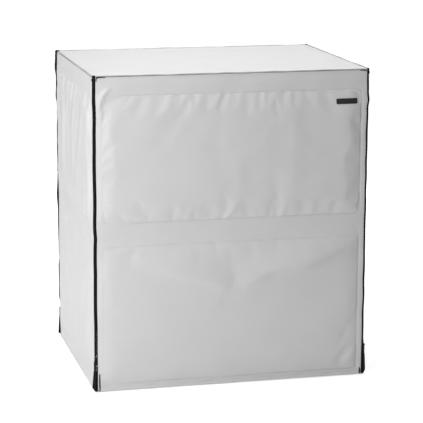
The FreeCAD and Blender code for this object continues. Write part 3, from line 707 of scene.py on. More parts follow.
def held_share(wall, u, z):
    """1 where the fabric is sewn down, less over the flat strips, 0 in the fields."""
    edge = np.minimum(wall.edge - np.abs(u), np.minimum(z - wall.low, wall.high - z))
    share = smooth(1 - edge / (6 * MM))
    inside = np.zeros(u.shape, bool)
    for field in wall.fields:
        d = seam_distance(u, z, field)
        share = np.maximum(share, smooth(1 - np.abs(d) / (3 * MM)))
        inside |= d > 0
    return np.where(inside, share, np.maximum(share, 0.7))


def groove_depth(wall, u, z):
    """The lowest seam lies deepest, and seams are shallow where a field climbs from the zip."""
    look = LOOKS[wall.name]
    depth = GROOVE * look.groove * (1 + 0.8 * (z < wall.fields[0].low + 3 * MM))
    if look.loose[0]:
        depth = depth * (0.2 + 0.8 * smooth((wall.edge - 0.03 + u) / 0.12))
    return depth


def wall_skin_grid(wall):
    """Fine grid of points of a wall's outer fabric, with its places across and up."""
    u, z = np.meshgrid(*wall_lines(wall), indexing="ij")
    points = on_wall(wall, u, z, wall_relief(wall, u, z))
    settled = settle(points, held_share(wall, u, z), PUSH, GROWTH)
    step = no_further(settled, points, SETTLE_CAP) - points
    share = np.where(z < wall.fields[0].high + SEAM_GAP, LOWER_SHARE, 1.0)
    points = points + step * share[..., None]
    points, u, z = refine(points), refine(u), refine(z)
    settled_height = points @ wall.out - wall.plane
    height = settled_height
    for field in wall.fields:
        d = seam_distance(u, z, field)
        height = height - groove_depth(wall, u, z) * bump(d, 0, GROOVE_WIDTH)
        over_foam = np.maximum(height, foam_top(wall, u, z, field) + SKIN_CLEAR)
        height = np.where(d > SEAM_GAP / 4, over_foam, height)
    return sway(points + (height - settled_height)[..., None] * wall.out), u, z


def turned_in(points, wall):
    """Adds two rows round a grid: its cut edges go down, then in behind the fabric."""
    for down, inward in ((1.1 * MM, 0.0), (0.3 * MM, TURN_IN)):
        for axis, direction in ((0, wall.along), (1, UP)):
            grid = np.moveaxis(points, axis, 0)
            first = grid[0] + direction * inward - wall.out * down
            last = grid[-1] - direction * inward - wall.out * down
            points = np.moveaxis(np.concatenate([first[None], grid, last[None]]), 0, axis)
    return points


def flat_places(u, z):
    return np.stack([u, z, np.zeros_like(u)], -1)


def wear(piece, bodies):
    """Puts a finished piece on its body; a piece that spans a flap's two halves only has its transform
    baked into its mesh.
    """
    if isinstance(bodies, str):
        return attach(piece, bodies)
    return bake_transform(piece)


def bodies_of(name):
    return "root" if name in SIDES else (f"{name}_upper", f"{name}_lower")


def make_wall_skin(name):
    wall = WALLS[name]
    points, u, z = wall_skin_grid(wall)
    SKINS[name] = (points, u[:, 0], z[0])
    cloth = np.pad(flat_places(u, z), ((2, 2), (2, 2), (0, 0)), mode="edge")
    piece = make_piece(f"{name}_outer_fabric", sheet_shape(turned_in(points, wall), cloth),
                       "wall_fabric", skin_nodes(name))
    wear(piece, bodies_of(name))


def unit(vectors):
    return vectors / np.linalg.norm(vectors, axis=1, keepdims=True)


def on_skin(name, u, z, lift=0.0):
    """Points on a wall's finished fabric at places across and up it, and the directions there:
    out of the fabric, and along u and z."""
    points, across, up = SKINS[name]
    i = np.clip(np.searchsorted(across, u) - 1, 0, len(across) - 2)
    j = np.clip(np.searchsorted(up, z) - 1, 0, len(up) - 2)
    s = np.clip((u - across[i]) / (across[i + 1] - across[i]), 0, 1)[:, None]
    t = np.clip((z - up[j]) / (up[j + 1] - up[j]), 0, 1)[:, None]
    a, b, c, d = points[i, j], points[i + 1, j], points[i, j + 1], points[i + 1, j + 1]
    place = a * (1 - s) * (1 - t) + b * s * (1 - t) + c * (1 - s) * t + d * s * t
    along = unit((b - a) * (1 - t) + (d - c) * t)
    upward = unit((c - a) * (1 - s) + (d - b) * s)
    outward = unit(np.cross(along, upward))
    return place + outward * lift, outward, along, upward


# ---------------------------------------------------------------- foam, linings, roof
def slab(front, back):
    """Closed vertices and quads between two grids of points that face away from each other."""
    columns, rows = front.shape[:2]
    count = columns * rows
    sheet = grid_faces(columns, rows)
    number = np.arange(count).reshape(columns, rows)
    border = np.concatenate([number[:, 0], number[-1, 1:], number[-2::-1, -1], number[0, -2:0:-1]])
    after = np.roll(border, -1)
    rim = np.stack([border, border + count, after + count, after], 1)
    vertices = np.concatenate([front.reshape(-1, 3), back.reshape(-1, 3)])
    return vertices, np.vstack([sheet, sheet[:, ::-1] + count, rim])


def make_foam_pad(name, level):
    wall, field = WALLS[name], WALLS[name].fields[LEVELS.index(level)]
    half, low, high = field.half - SEAM_GAP, field.low + SEAM_GAP, field.high - SEAM_GAP
    across, up = (lines((start, start + FOAM_ROLL, FINE), (start + FOAM_ROLL, end - FOAM_ROLL, COARSE),
                        (end - FOAM_ROLL, end, FINE)) for start, end in ((-half, half), (low, high)))
    u, z = np.meshgrid(across, up, indexing="ij")
    top = on_wall(wall, u, z, foam_top(wall, u, z, field))
    bottom = on_wall(wall, u, z, 0 * u + lining_face(wall))
    cloth = np.tile(flat_places(u, z).reshape(-1, 3), (2, 1))
    piece = make_piece(f"{name}_{level}_foam", (*slab(top, bottom), cloth), "foam",
                       [f"{name}_{level}_foam_pad"])
    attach(piece, "root" if name in SIDES else f"{name}_{level}")


def make_lining(name):
    """The inner face of a wall: quilted to the outer fabric along the seams of its fields."""
    wall = WALLS[name]
    nodes = [f"{name}_wall_lining"] if name in SIDES else [f"{name}_{k}_lining" for k in LEVELS]
    low, high = span(nodes)
    half = reach(wall.along, low, high)
    across, up = (lines((*ends, LINING_CELL)) for ends in ((-half, half), (low.z, high.z)))
    u, z = (refine(grid) for grid in np.meshgrid(across, up, indexing="ij"))
    height = np.full(u.shape, inner_face(wall, low, high))
    for field in wall.fields:
        d = seam_distance(u, z, field)
        height += 0.9 * MM * bump(d, 0, 5 * MM) - 0.5 * MM * smooth(d / (40 * MM))
    seed = list(OUT).index(name) + 60
    height += 0.25 * MM * waves(seed, [0.05, 0.08, 0.12, 0.19], u, z)
    points = sway(on_wall(wall, u, z, height))
    SKINS[f"{name}_lining"] = (points, u[:, 0], z[0])
    piece = make_piece(f"{name}_inner_lining", sheet_shape(points, flat_places(u, z), inward=True),
                       "lining", nodes)
    wear(piece, bodies_of(name))


def roof_grid(node, cell):
    """A CAD box of the roof, a grid over it, and each point's distance from its edge."""
    low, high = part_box(node)
    x, y = np.meshgrid(lines((low.x, high.x, cell)), lines((low.y, high.y, cell)), indexing="ij")
    return low, high, x, y, np.minimum(high.x - np.abs(x), high.y - np.abs(y))


def stretch_on_roof(piece):
    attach(piece, "root")


def make_roof():
    low, high, x, y, edge = roof_grid("roof_outer_skin", COARSE)
    swell = 1.2 * MM * smooth(edge / (50 * MM)) + 0.5 * MM * waves(90, [0.2, 0.3, 0.14, 0.4], x, y)
    puckers = 0.35 * MM * np.exp(-edge / (18 * MM)) * waves(91, [0.05, 0.036, 0.07], x, y)
    drop = 2.2 * MM * smooth(1 - edge / (9 * MM))      # down to the piping's middle
    z = high.z + np.maximum(swell * smooth(edge / (30 * MM)), 0) + puckers - drop
    shape = sheet_shape(refine(np.stack([x, y, z], -1)), refine(flat_places(x, y)))
    stretch_on_roof(make_piece("roof_outer_fabric", shape, "roof_fabric", ["roof_outer_skin"]))

    low, high, x, y, edge = roof_grid("roof_foam_board", 2 * COARSE)
    soft = 0.3 * MM + 0.6 * MM * np.exp(-edge / (6 * MM))
    shape = slab(np.stack([x, y, high.z - soft], -1), np.stack([x, y, low.z + soft], -1))
    board = make_piece("roof_foam_slab", shape, "foam", ["roof_foam_board"])
    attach(board, "root")

    low, high, x, y, _ = roof_grid("roof_lining", 2 * COARSE)
    z = low.z - 0.2 * MM + 0.25 * MM * waves(92, [0.09, 0.14, 0.2], x, y)
    shape = sheet_shape(refine(np.stack([x, y, z], -1)), inward=True)
    stretch_on_roof(make_piece("roof_inner_lining", shape, "lining", ["roof_lining"]))


# ---------------------------------------------------------------- piping, hems, stitching
def rounded_outline(half, low, high, radius, steps):
    """Closed path round a rectangle with rounded corners, half to each side of the middle."""
    path = []
    for quarter, (side, end) in enumerate(((1, high), (-1, high), (-1, low), (1, low))):
        level = end - radius if end == high else end + radius
        for turn in np.linspace(0, math.pi / 2, steps):
            angle = quarter * math.pi / 2 + turn
            path.append((side * (half - radius) + radius * math.cos(angle),
                         level + radius * math.sin(angle)))
    return path + path[:1]


def swept_cloth(count, step, places):
    """Cloth places of a swept section: steps round its points, and places along its path."""
    return np.stack([np.repeat(np.arange(count) * step, len(places)), np.tile(places, count),
                     np.zeros(count * len(places))], 1)


def make_piping():
    low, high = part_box("roof_piping")
    radius = (high.z - low.z) / 2
    x, y = high.x - radius, high.y - radius
    path = np.array(rounded_outline(x, -y, y, PIPING_CORNER, 7))
    along = np.concatenate([[0], np.cumsum(np.linalg.norm(np.diff(path, axis=0), axis=1))])
    place = np.linspace(0, along[-1], 900)
    px, py = np.interp(place, along, path[:, 0]), np.interp(place, along, path[:, 1])
    turn = place / along[-1] * 2 * math.pi
    ring = (np.cos(turn), np.sin(turn))
    drift = 0.4 * MM * waves(95, [0.5, 0.33, 0.21, 0.12], *ring)
    lift = 0.5 * MM * waves(96, [0.6, 0.4, 0.25, 0.15], *ring)
    centre = np.stack([px, py, np.full_like(px, (low.z + high.z) / 2)], 1)
    outward = np.cross(unit(np.gradient(centre, axis=0)), UP)
    centre += drift[:, None] * outward + lift[:, None] * UP
    shape = loop_sweep(centre, outward, UP, circle(radius, 10), capped=False)
    piece = make_piece("roof_edge_piping", (*shape, swept_cloth(10, radius * 0.63, place)),
                       "piping", ["roof_piping"])
    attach(piece, "root")


def hem_node(name):
    return f"{name}_wall_hem" if name in SIDES else f"{name}_lower_hem"


def hem_profile(width, outer, inner, thick):
    """A band folded round a cut edge: (height over the plane, place up) all round its section."""
    middle, radius, lip = (outer + inner) / 2, (outer - inner) / 2, width - 4 * thick
    turn = np.linspace(0, math.pi, 7)
    outside = [(middle + thick, width), (outer, lip)]
    outside += [(middle + radius * math.cos(a), radius * (1 - math.sin(a))) for a in turn]
    small = radius - thick
    inside = [(middle + small * math.cos(a), radius - small * math.sin(a)) for a in turn[::-1]]
    return np.array(outside + [(inner, width), (inner + thick, width)] + inside
                    + [(outer - thick, lip), (middle, width)])


def make_hem(name):
    wall = WALLS[name]
    low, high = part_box(hem_node(name))
    half = reach(wall.along, low, high)
    across = lines((-half, half, 5 * MM))
    seed = list(OUT).index(name) + 100
    dip = 0.5 * MM * waves(seed, [0.13, 0.21, 0.34, 0.075], across)
    lean = 0.35 * MM * waves(seed + 5, [0.09, 0.17, 0.29], across)
    dip = np.maximum(dip + 0.3 * MM, 0) if name in SIDES else dip
    outer = reach(wall.out, low, high) - wall.plane
    profile = hem_profile(high.z - low.z, outer, inner_face(wall, low, high), 0.6 * MM)
    vertices, faces = loop_sweep(on_wall(wall, across, low.z + dip, lean), wall.out, UP, profile)
    cloth = swept_cloth(len(profile), 1.7 * MM, across)[:, [1, 0, 2]]
    piece = make_piece(f"{name}_hem_band", (sway(vertices), faces, cloth), "binding",
                       [hem_node(name)])
    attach(piece, "root" if name in SIDES else f"{name}_lower")


BAR_FACES = [[6 * k + i, 6 * k + (i + 1) % 6, 6 * k + 6 + (i + 1) % 6, 6 * k + 6 + i]
             for k in range(3) for i in range(6)]       # round a bar of four six-sided rings


def stitch_template(length, radius):
    """One stitch: a short thread, thick in the middle, that dips at both ends."""
    stations = [(-0.5, 0.35, -1.0), (-0.3, 1.0, 0.1), (0.3, 1.0, 0.1), (0.5, 0.35, -1.0)]
    points = [(s * length, r * radius * a, r * radius * b + lift * radius)
              for s, r, lift in stations for a, b in circle(1, 6)]
    return np.array(points), np.array(BAR_FACES)


def spaced(path, pitch):
    """Places at an even pitch along a path, and the direction of the path at each."""
    path = np.array(path, float)
    step = np.diff(path, axis=0)
    length = np.hypot(step[:, 0], step[:, 1])
    total = np.concatenate([[0], np.cumsum(length)])
    place = np.arange(pitch / 2, total[-1], pitch)
    k = np.clip(np.searchsorted(total, place) - 1, 0, len(length) - 1)
    share = (place - total[k]) / length[k]
    return path[k] + share[:, None] * step[k], step[k] / length[k, None]


STITCH, STITCH_RADIUS, STITCH_PITCH = 2.7 * MM, 0.34 * MM, 4 * MM
EDGE_ROW, TOP_ROW = 4 * MM, 4.5 * MM        # rows of stitches inside a wall's edges and its top


def stitch_rows(skin, rows, lift):
    template = stitch_template(STITCH, STITCH_RADIUS)
    parts = []
    for path in rows:
        place, direction = spaced(path, STITCH_PITCH)
        origin, outward, along, upward = on_skin(skin, place[:, 0], place[:, 1], lift)
        ahead = direction[:, 0:1] * along + direction[:, 1:2] * upward
        parts.append(scatter(template, origin, ahead, np.cross(outward, ahead), outward))
    return parts


def make_stitching(name):
    wall = WALLS[name]
    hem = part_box(hem_node(name))[1].z
    u, top = wall.edge - EDGE_ROW, wall.high - TOP_ROW
    rows = [[(s * u, hem + 3 * MM), (s * u, top)] for s in (-1, 1)] + [[(-u, top), (u, top)]]
    grow = 0.2 * MM
    seams = [rounded_outline(f.half + grow, f.low - grow, f.high + grow, SEAM_RADIUS + grow, 6)
             for f in wall.fields]
    parts = stitch_rows(name, rows + (seams if name in FLAPS else []), 0.15 * MM)
    parts += stitch_rows(name, [[(-u, hem - 2 * MM), (u, hem - 2 * MM)]], 1.25 * MM)
    parts += stitch_rows(f"{name}_lining", seams, -0.15 * MM)
    piece = make_piece(f"{name}_stitching", join(parts), "thread")
    wear(piece, bodies_of(name))


# ---------------------------------------------------------------- zips
def ribbon(points, thick):
    """Closed outline of a thin ribbon's section, from the points along its middle."""
    points = np.array(points, float)
    ahead = np.gradient(points, axis=0)
    normal = unit(np.stack([-ahead[:, 1], ahead[:, 0]], 1))
    return np.vstack([points + normal * thick / 2, (points - normal * thick / 2)[::-1]])


TAPE_THICK = 0.7 * MM
TAPE_UNDER = [(0.9, -1.0), (2.4, -1.0), (3.3, -0.35)]       # mm: under the coil
TAPE_CUT = [(4.9, 0.0), (5.0, 0.0), (5.1, 0.0)]             # the same beside a slider
TAPE_EDGE = [(5.25, 0.0), (5.5, 0.0), (6.0, -0.9), (8.5, -3.7), (10.5, -5.7)]
SLIDER_CLEAR = 0.6 * MM         # above and below a slider
COIL_PITCH = 1.8 * MM


def tape_section(cut):
    """A tape half: from under the coil to its edge, then in behind the wall's fabric."""
    return ribbon(np.array((TAPE_CUT if cut else TAPE_UNDER) + TAPE_EDGE) * MM, TAPE_THICK)


def corner_sweep(corner, heights, sections, flap_side=False):
    """Sweeps a section up a corner's zip; across is positive towards the half's own wall."""
    out, side = corner_axes(corner)
    path = corner_point(corner) + heights[:, None] * UP
    return loop_sweep(path, -side if flap_side else side, out, sections)


def tape_half(corner, flap_side, low, high):
    """Half of a zip's tape, which keeps clear of its closed slider."""
    slider_low, slider_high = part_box(f"{corner}_zip_slider")
    heights = lines((low, high, 6 * MM))
    cut = ((heights > slider_low.z - SLIDER_CLEAR) & (heights < slider_high.z + SLIDER_CLEAR))
    sections = np.array([tape_section(c) for c in cut])
    vertices, faces = corner_sweep(corner, heights, sections, flap_side)
    return sway(vertices), faces, swept_cloth(sections.shape[1], 1.1 * MM, heights)


def lump_sections(rings):
    """Oval sections from rings of (height, half width, half depth, shift across, shift out)."""
    return np.array([circle(1, 12) * (a, b) + (c, d) for _, a, b, c, d in rings])


def rings_from_mm(rings, base=0.0, grow=1.0):
    """Heights and oval sections of a lump, from rings in mm over a base height."""
    rings = [(base + z * MM, a * MM * grow, b * MM * grow, c * MM, d * MM)
             for z, a, b, c, d in rings]
    return np.array([ring[0] for ring in rings]), lump_sections(rings)


# At this corner the side tape has worked loose: its edge stands out as a fin and ends in a knot.
FIN_CORNER, FIN_WALL = "back_left", WALLS["left"]
FIN_THICK, FIN_ROOT = 0.8 * MM, 1.2 * MM
FIN_SWELLS = [(1.9, 0.86, 0.05), (3.4, 0.466, 0.03), (2.4, 0.892, 0.024)]   # mm, height, reach
FIN_KNOT = [(-20, 1.0, 0.8, 3, 0), (-15, 3.4, 2.6, 3, 0), (-9, 4.2, 3.2, 2.4, 0),
            (-4, 4.4, 3.6, 1.2, 0), (-0.5, 6.0, 4.4, 0, 0), (3, 6.6, 4.8, -0.6, 0),
            (5.6, 5.0, 3.4, -1, 0), (6.4, 1.0, 0.8, -1, 0)]


def fin_width(heights):
    """Buckled at the top, widest half-way up, almost shut at one gap."""
    width = 3.6 + sum(rise * bump(heights, at, spread) for rise, at, spread in FIN_SWELLS)
    width = width + 0.9 * waves(5, [0.047, 0.066, 0.1], heights) * bump(heights, 0.82, 0.13)
    width = (width + 0.5 * waves(6, [0.13, 0.19, 0.31], heights)) * MM
    width = width * smooth((heights - 0.108) / 0.03) * smooth((0.926 - heights) / 0.01)
    return np.maximum(width * (1 - 0.8 * bump(heights, 0.262, 0.016)), 0.8 * MM)


def loose_fin():
    heights = lines((0.112, 0.92, 3 * MM))
    lean = 0.5 * MM * waves(7, [0.06, 0.09, 0.15], heights)
    path = heights[:, None] * UP + FIN_WALL.out * (FIN_WALL.plane - FIN_ROOT)
    path = path + (0, FIN_WALL.edge - 0.2 * MM, 0)
    sections = np.repeat(np.array([[(0, -0.5), (1, -0.35), (1, 0.35), (0, 0.5)]]), len(heights), 0)
    sections[:, :, 0] *= (fin_width(heights) + FIN_ROOT)[:, None]
    sections[:, :, 1] = sections[:, :, 1] * FIN_THICK + sections[:, :, 0] * 0.25 + lean[:, None]
    vertices, faces = loop_sweep(path, FIN_WALL.out, OUT["back"], sections)
    return sway(vertices), faces, swept_cloth(4, 2 * MM, heights)


def fin_knot():
    heights, sections = rings_from_mm(FIN_KNOT, FIN_WALL.high)
    path = heights[:, None] * UP + FIN_WALL.out * FIN_WALL.plane + (0, FIN_WALL.edge, 0)
    vertices, faces = loop_sweep(path, FIN_WALL.out, OUT["back"], sections)
    return vertices, faces, flat_places(vertices[:, 1], vertices[:, 2])


def tooth_template(pitch):
    """One turn of a coil, seen from outside: a rounded bar that reaches over the middle."""
    stations = [(-0.7, 0.55, -0.3), (-0.2, 1.0, -0.1), (2.6, 1.0, 0.1), (3.5, 0.6, 0.2)]
    points = [(t * MM, r * 0.95 * MM * b, slant * pitch + r * 0.36 * pitch * a)
              for t, r, slant in stations for a, b in circle(1, 6)]
    ends = [[0, 3, 2, 1], [0, 5, 4, 3], [18, 19, 20, 21], [18, 21, 22, 23]]
    return np.array(points), np.array(BAR_FACES + ends)


def coil_half(corner, flap_side, low, high):
    heights = np.arange(low + COIL_PITCH, high - COIL_PITCH / 2, COIL_PITCH)
    heights = heights + (COIL_PITCH / 2 if flap_side else 0)
    out, side = corner_axes(corner)
    origins = sway(corner_point(corner) + heights[:, None] * UP)
    return scatter(tooth_template(COIL_PITCH), origins, -side if flap_side else side, out, UP)


def make_side_zip_halves(corner):
    low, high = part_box(f"{corner}_zip_tape")
    parts = [tape_half(corner, False, low.z, high.z)]
    if corner == FIN_CORNER:
        parts += [loose_fin(), fin_knot()]
    tape = make_piece(f"{corner}_side_tape", join(parts), "zip_tape", [f"{corner}_zip_tape"])
    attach(tape, "root")
    low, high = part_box(f"{corner}_zip_coil")
    coil = make_piece(f"{corner}_side_coil", coil_half(corner, False, low.z, high.z), "zip_coil",
                      [f"{corner}_zip_coil"])
    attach(coil, "root")


def make_flap_zip_halves(name):
    for kind, half in (("tapes", tape_half), ("coils", coil_half)):
        nodes = [f"{name}_{level}_zip_{kind}" for level in LEVELS]
        low, high = span(nodes)
        shape = join([half(f"{name}_{side}", True, low.z, high.z) for side in SIDES])
        wear(make_piece(f"{name}_flap_{kind}", shape, f"zip_{kind[:-1]}", nodes), bodies_of(name))


KNOT_SIZE, STOP_HEIGHT = 1.22, 4 * MM
KNOT = [(-18.0, 2.2, 0.6, 0.2, 0.3), (-16.5, 4.6, 1.5, 0.4, 0.6), (-13.0, 5.6, 2.2, 0.8, 0.8),
        (-10.5, 5.4, 2.4, 0.9, 0.8), (-8.5, 4.0, 2.0, 0.2, 0.5), (-6.0, 3.9, 2.3, -0.3, 0.2),
        (-2.5, 4.5, 2.9, -0.5, -0.3), (-0.3, 4.4, 2.8, -0.4, -0.6), (0.9, 2.6, 1.6, -0.3, -0.8),
        (1.2, 0.8, 0.5, -0.3, -0.9)]
CRIMP = [(0, 2.6, 1.0, 0, 0), (0.4, 3.4, 1.7, 0, 0), (2.0, 3.6, 1.9, 0, 0),
         (3.6, 3.4, 1.7, 0, 0), (4.0, 2.6, 1.0, 0, 0)]


def make_corner_ends():
    """Where each zip ends under the roof: its tapes folded over into a small black knot; and the
    clamps at both ends of its coils."""
    knot = rings_from_mm(KNOT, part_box("corner_tape_ends")[1].z, KNOT_SIZE)
    shape = join([corner_sweep(corner, *knot) for corner in CORNERS])
    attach(make_piece("corner_tape_knots", shape, "zip_tape", ["corner_tape_ends"]), "root")
    low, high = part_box("zip_stops")
    crimps = [rings_from_mm(CRIMP, base) for base in (low.z, high.z - STOP_HEIGHT)]
    shape = join([corner_sweep(corner, *crimp) for corner in CORNERS for crimp in crimps])
    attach(make_piece("zip_end_stops", shape, "zip_metal", ["zip_stops"]), "root")


# Tape ends turned along a flap's top seam: mm in from its edge and mm over its top.
HOOKS = {-1: [(1.8, -12), (1.6, -6), (2.2, -2.2), (6, -0.6), (16, 0.2), (29, 0.4)],
         1: [(1.2, -3), (4, -0.8), (12, 0.2), (21, 0.4)]}
TAILS = {-1: 56 * MM, 1: 22 * MM}       # the height of the tape ends beside its lower corners
HOOK_HALF, TAIL_HALF = 1.4 * MM, 2.0 * MM


def tape_cords(name, paths, half):
    """Shape of narrow folded tape ends that lie on a flap's fabric along paths."""
    wall = WALLS[name]
    parts = []
    for path in paths:
        place = np.array(path)
        fine = refine(refine(np.stack([place, place], 0)))[0]
        over_hem = 1.5 * MM * smooth((24 * MM - fine[:, 1]) / (8 * MM))
        origin = on_skin(name, fine[:, 0], fine[:, 1], 0.7 * MM)[0] + over_hem[:, None] * wall.out
        across = np.cross(unit(np.gradient(origin, axis=0)), wall.out)
        taper = np.sin(np.linspace(0.5, math.pi - 0.35, len(origin))) ** 0.5
        section = circle(half, 8, 0.45)[None] * taper[:, None, None]
        parts.append(loop_sweep(origin, across, wall.out, section))
    return join(parts)


def make_tape_hooks(name):
    """The flap's own tape ends: turned along its top seam, and straight down at its hem."""
    edge, top = WALLS[name].edge, WALLS[name].high
    hooks = [[(s * (edge - u * MM), top + z * MM) for u, z in path] for s, path in HOOKS.items()]
    piece = make_piece(f"{name}_tape_hooks", tape_cords(name, hooks, HOOK_HALF), "zip_tape")
    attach(piece, "root")
    inset = edge - 5 * MM
    tails = [[(s * inset, share * high) for share in (1, 0.75, 0.5, 0.25)]
             + [(s * (inset - 0.4 * MM), 3 * MM)] for s, high in TAILS.items()]
    piece = make_piece(f"{name}_tape_tails", tape_cords(name, tails, TAIL_HALF), "zip_tape")
    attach(piece, f"{name}_lower")


def make_pull_strap(corner):
    """A folded strap on the pull tab: it widens and leans to the side wall on its way down."""
    low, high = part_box(f"{corner}_pull_strap")
    (out, side), foot = corner_axes(corner), corner_point(corner)
    height_out = (np.array(low + high) / 2 - foot) @ out
    share = np.linspace(0, 1, 15)
    z = high.z + share * (2.2 * MM - high.z)
    half = 4.1 * MM + share ** 0.8 * 2.9 * MM
    lean = 0.2 * MM + smooth(share) * 2.4 * MM
    section = ribbon([(t, 0.12 * MM * math.cos(6 * t)) for t in np.linspace(-1, 1, 7)], 1.2 * MM)
    sections = np.repeat(section[None], len(z), 0)
    sections[:, :, 0] *= half[:, None]
    parts = []
    for depth in (0.75 * MM, -0.75 * MM):       # the strap's front layer, then its back layer
        spread = height_out + depth * (1 + 0.5 * np.sin(share * math.pi))
        path = foot + z[:, None] * UP + lean[:, None] * side + spread[:, None] * out
        vertices, faces = loop_sweep(path, side, out, sections)
        slant = ((vertices - foot) @ side + 4 * MM) * 0.7       # its lower end is cut aslant
        cut = smooth(1 - vertices[:, 2] / (26 * MM)) * slant
        vertices[:, 2] = np.maximum(vertices[:, 2] + cut, 0.4 * MM)
        parts.append((vertices, faces))
    piece = make_piece(f"{corner}_strap", join(parts), "strap_webbing", [f"{corner}_pull_strap"])
    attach(piece, f"{corner}_puller")


def paint_cad_nodes():
    for corner in CORNERS:
        for node in (f"{corner}_zip_slider", f"{corner}_pull_tab"):
            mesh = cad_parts[node].data
            mesh.materials.clear()
            mesh.materials.append(MATERIALS["zip_metal"])


def rounded_in(places, middle, half, over, squeeze, radius):
    """Places on one axis of a rectangle's grid, drawn in where its corners are round."""
    step = places - middle
    return middle + np.sign(step) * (np.minimum(np.abs(step), half - radius) + over * squeeze)


def make_patch():
    low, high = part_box("front_name_patch")
    u, z = np.meshgrid(lines((low.x, high.x, 2 * MM)), lines((low.z, high.z, 2 * MM)),
                       indexing="ij")
    middle, half, radius = (low + high) / 2, (high - low) / 2, 3 * MM
    over_u = np.maximum(np.abs(u - middle.x) - (half.x - radius), 0)
    over_z = np.maximum(np.abs(z - middle.z) - (half.z - radius), 0)
    squeeze = radius / np.maximum(np.hypot(over_u, over_z), radius)
    u = rounded_in(u, middle.x, half.x, over_u, squeeze, radius)
    z = rounded_in(z, middle.z, half.z, over_z, squeeze, radius)
    front, back = (on_skin("front", u.ravel(), z.ravel(), lift)[0].reshape(u.shape + (3,))
                   for lift in (0.9 * MM, 0.1 * MM))
    piece = make_piece("front_blank_patch", slab(front, back), "patch", ["front_name_patch"])
    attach(piece, "front_upper")
    inset = 1.6 * MM
    half_u, bottom, top = half.x - inset, low.z + inset, high.z - inset
    path = [(middle.x + s * half_u, h) for s, h in
            ((-1, bottom), (1, bottom), (1, top), (-1, top), (-1, bottom))]
    thread = make_piece("front_patch_stitching", join(stitch_rows("front", [path], 1.0 * MM)),
                        "black_thread")
    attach(thread, "front_upper")


# ---------------------------------------------------------------- stage, lights, camera
NEAR_GLOW, FAR_GLOW = 0.50, 0.95       # the floor's own light by the hood, and further off


def make_floor():
    paint = Paint("pale_floor", 0.7, from_cloth=False)
    paint.colour(paint.noise(0.6, 2), (0.86, 0.86, 0.86), (0.88, 0.88, 0.88))
    paint.shader.inputs["Emission Color"].default_value = (1, 1, 1, 1)
    distance = paint.node("ShaderNodeVectorMath", {0: paint.place}, operation="LENGTH")
    glow = paint.node("ShaderNodeMapRange", {"Value": distance.outputs["Value"], "From Min": 0.9,
                                             "From Max": 4.0, "To Min": NEAR_GLOW, "To Max": FAR_GLOW})
    seen = paint.node("ShaderNodeLightPath").outputs["Is Camera Ray"]
    shown = paint.node("ShaderNodeMath", {0: glow.outputs["Result"], 1: seen}, operation="MULTIPLY")
    paint.tree.links.new(shown.outputs[0], paint.shader.inputs["Emission Strength"])
    size = 40.0
    corners = [(-size, -size, 0), (size, -size, 0), (size, size, 0), (-size, size, 0)]
    floor = make_object("floor", corners, [(0, 1, 2, 3)], paint.material)
    floor.location.z = -0.2 * MM


def make_light(name, place, target, size, power):
    data = bpy.data.lights.new(name, "AREA")
    data.shape = "RECTANGLE"
    data.size, data.size_y = size
    data.energy = power
    light = bpy.data.objects.new(name, data)
    light.location = place
    light.rotation_mode = "QUATERNION"
    light.rotation_quaternion = (Vector(target) - Vector(place)).to_track_quat("-Z", "Y")
    bpy.context.scene.collection.objects.link(light)


LIGHTS = {
    "front_left_strip": ((-1.25, -1.6, 0.9), (-0.1, -0.2, 0.5), (0.5, 1.4), 17),
    "left_panel": ((-2.0, 0.9, 0.7), (-0.3, 0, 0.45), (1.0, 1.4), 15),
    "top_soft": ((0.0, 0.1, 2.8), (0, 0, 0.9), (2.4, 2.4), 41),
    "top_left": ((-0.9, -0.5, 2.3), (-0.2, 0, 0.9), (1.0, 1.0), 7),
    "back_fill": ((1.2, 3.4, 2.2), (0, 0, 0.5), (2.0, 2.0), 10),
    "back_low": ((0.8, 3.0, 0.42), (0, 0, 0.42), (2.0, 0.8), 22),
    "right_low": ((2.6, 0.5, 0.42), (0.4, 0, 0.42), (1.2, 0.8), 9),
}
WORLD_STRENGTH = 0.18


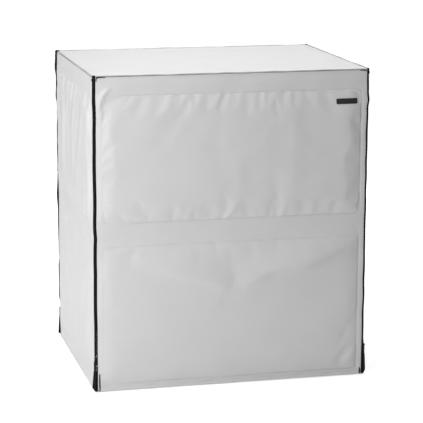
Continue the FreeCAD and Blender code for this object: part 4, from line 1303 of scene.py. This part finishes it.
def make_world():
    """A white surround for the eye, which lights the hood more softly."""
    world = bpy.data.worlds.new("studio")
    world.use_nodes = True
    bpy.context.scene.world = world
    tree = world.node_tree
    shade = tree.nodes["Background"]
    shade.inputs["Color"].default_value = (1, 1, 1, 1)
    shade.inputs["Strength"].default_value = WORLD_STRENGTH
    seen = tree.nodes.new("ShaderNodeBackground")
    seen.inputs["Color"].default_value = (1, 1, 1, 1)
    path = tree.nodes.new("ShaderNodeLightPath")
    mix = tree.nodes.new("ShaderNodeMixShader")
    tree.links.new(path.outputs["Is Camera Ray"], mix.inputs[0])
    tree.links.new(shade.outputs[0], mix.inputs[1])
    tree.links.new(seen.outputs[0], mix.inputs[2])
    tree.links.new(mix.outputs[0], tree.nodes["World Output"].inputs["Surface"])


def make_camera():
    azimuth, elevation, roll = (math.radians(a) for a in (-13.93, 11.81, 0.24))
    data = bpy.data.cameras.new("camera")
    data.lens, data.sensor_width = 154.6, 36.0
    data.clip_end = 100
    camera = bpy.data.objects.new("camera", data)
    camera.location = (-1.302, -5.307, 1.597)
    back = Vector((math.sin(azimuth) * math.cos(elevation),
                   -math.cos(azimuth) * math.cos(elevation), math.sin(elevation)))
    camera.rotation_mode = "QUATERNION"
    aim = (-back).to_track_quat("-Z", "Y")
    camera.rotation_quaternion = aim @ Quaternion((0, 0, 1), roll)
    bpy.context.scene.collection.objects.link(camera)
    bpy.context.scene.camera = camera


# ---------------------------------------------------------------- build
make_camera()
for wall_name in OUT:
    make_wall_skin(wall_name)
    make_lining(wall_name)
    make_hem(wall_name)
    make_stitching(wall_name)
    for pad_level in LEVELS:
        make_foam_pad(wall_name, pad_level)
make_roof()
make_piping()
for corner_name in CORNERS:
    make_side_zip_halves(corner_name)
    make_pull_strap(corner_name)
for flap_name in FLAPS:
    make_flap_zip_halves(flap_name)
    make_tape_hooks(flap_name)
make_corner_ends()
make_patch()
paint_cad_nodes()
make_floor()
make_world()
for light_name, (place, target, size, power) in LIGHTS.items():
    make_light(light_name, place, target, size, power)
bpy.context.scene.view_settings.view_transform = "Standard"
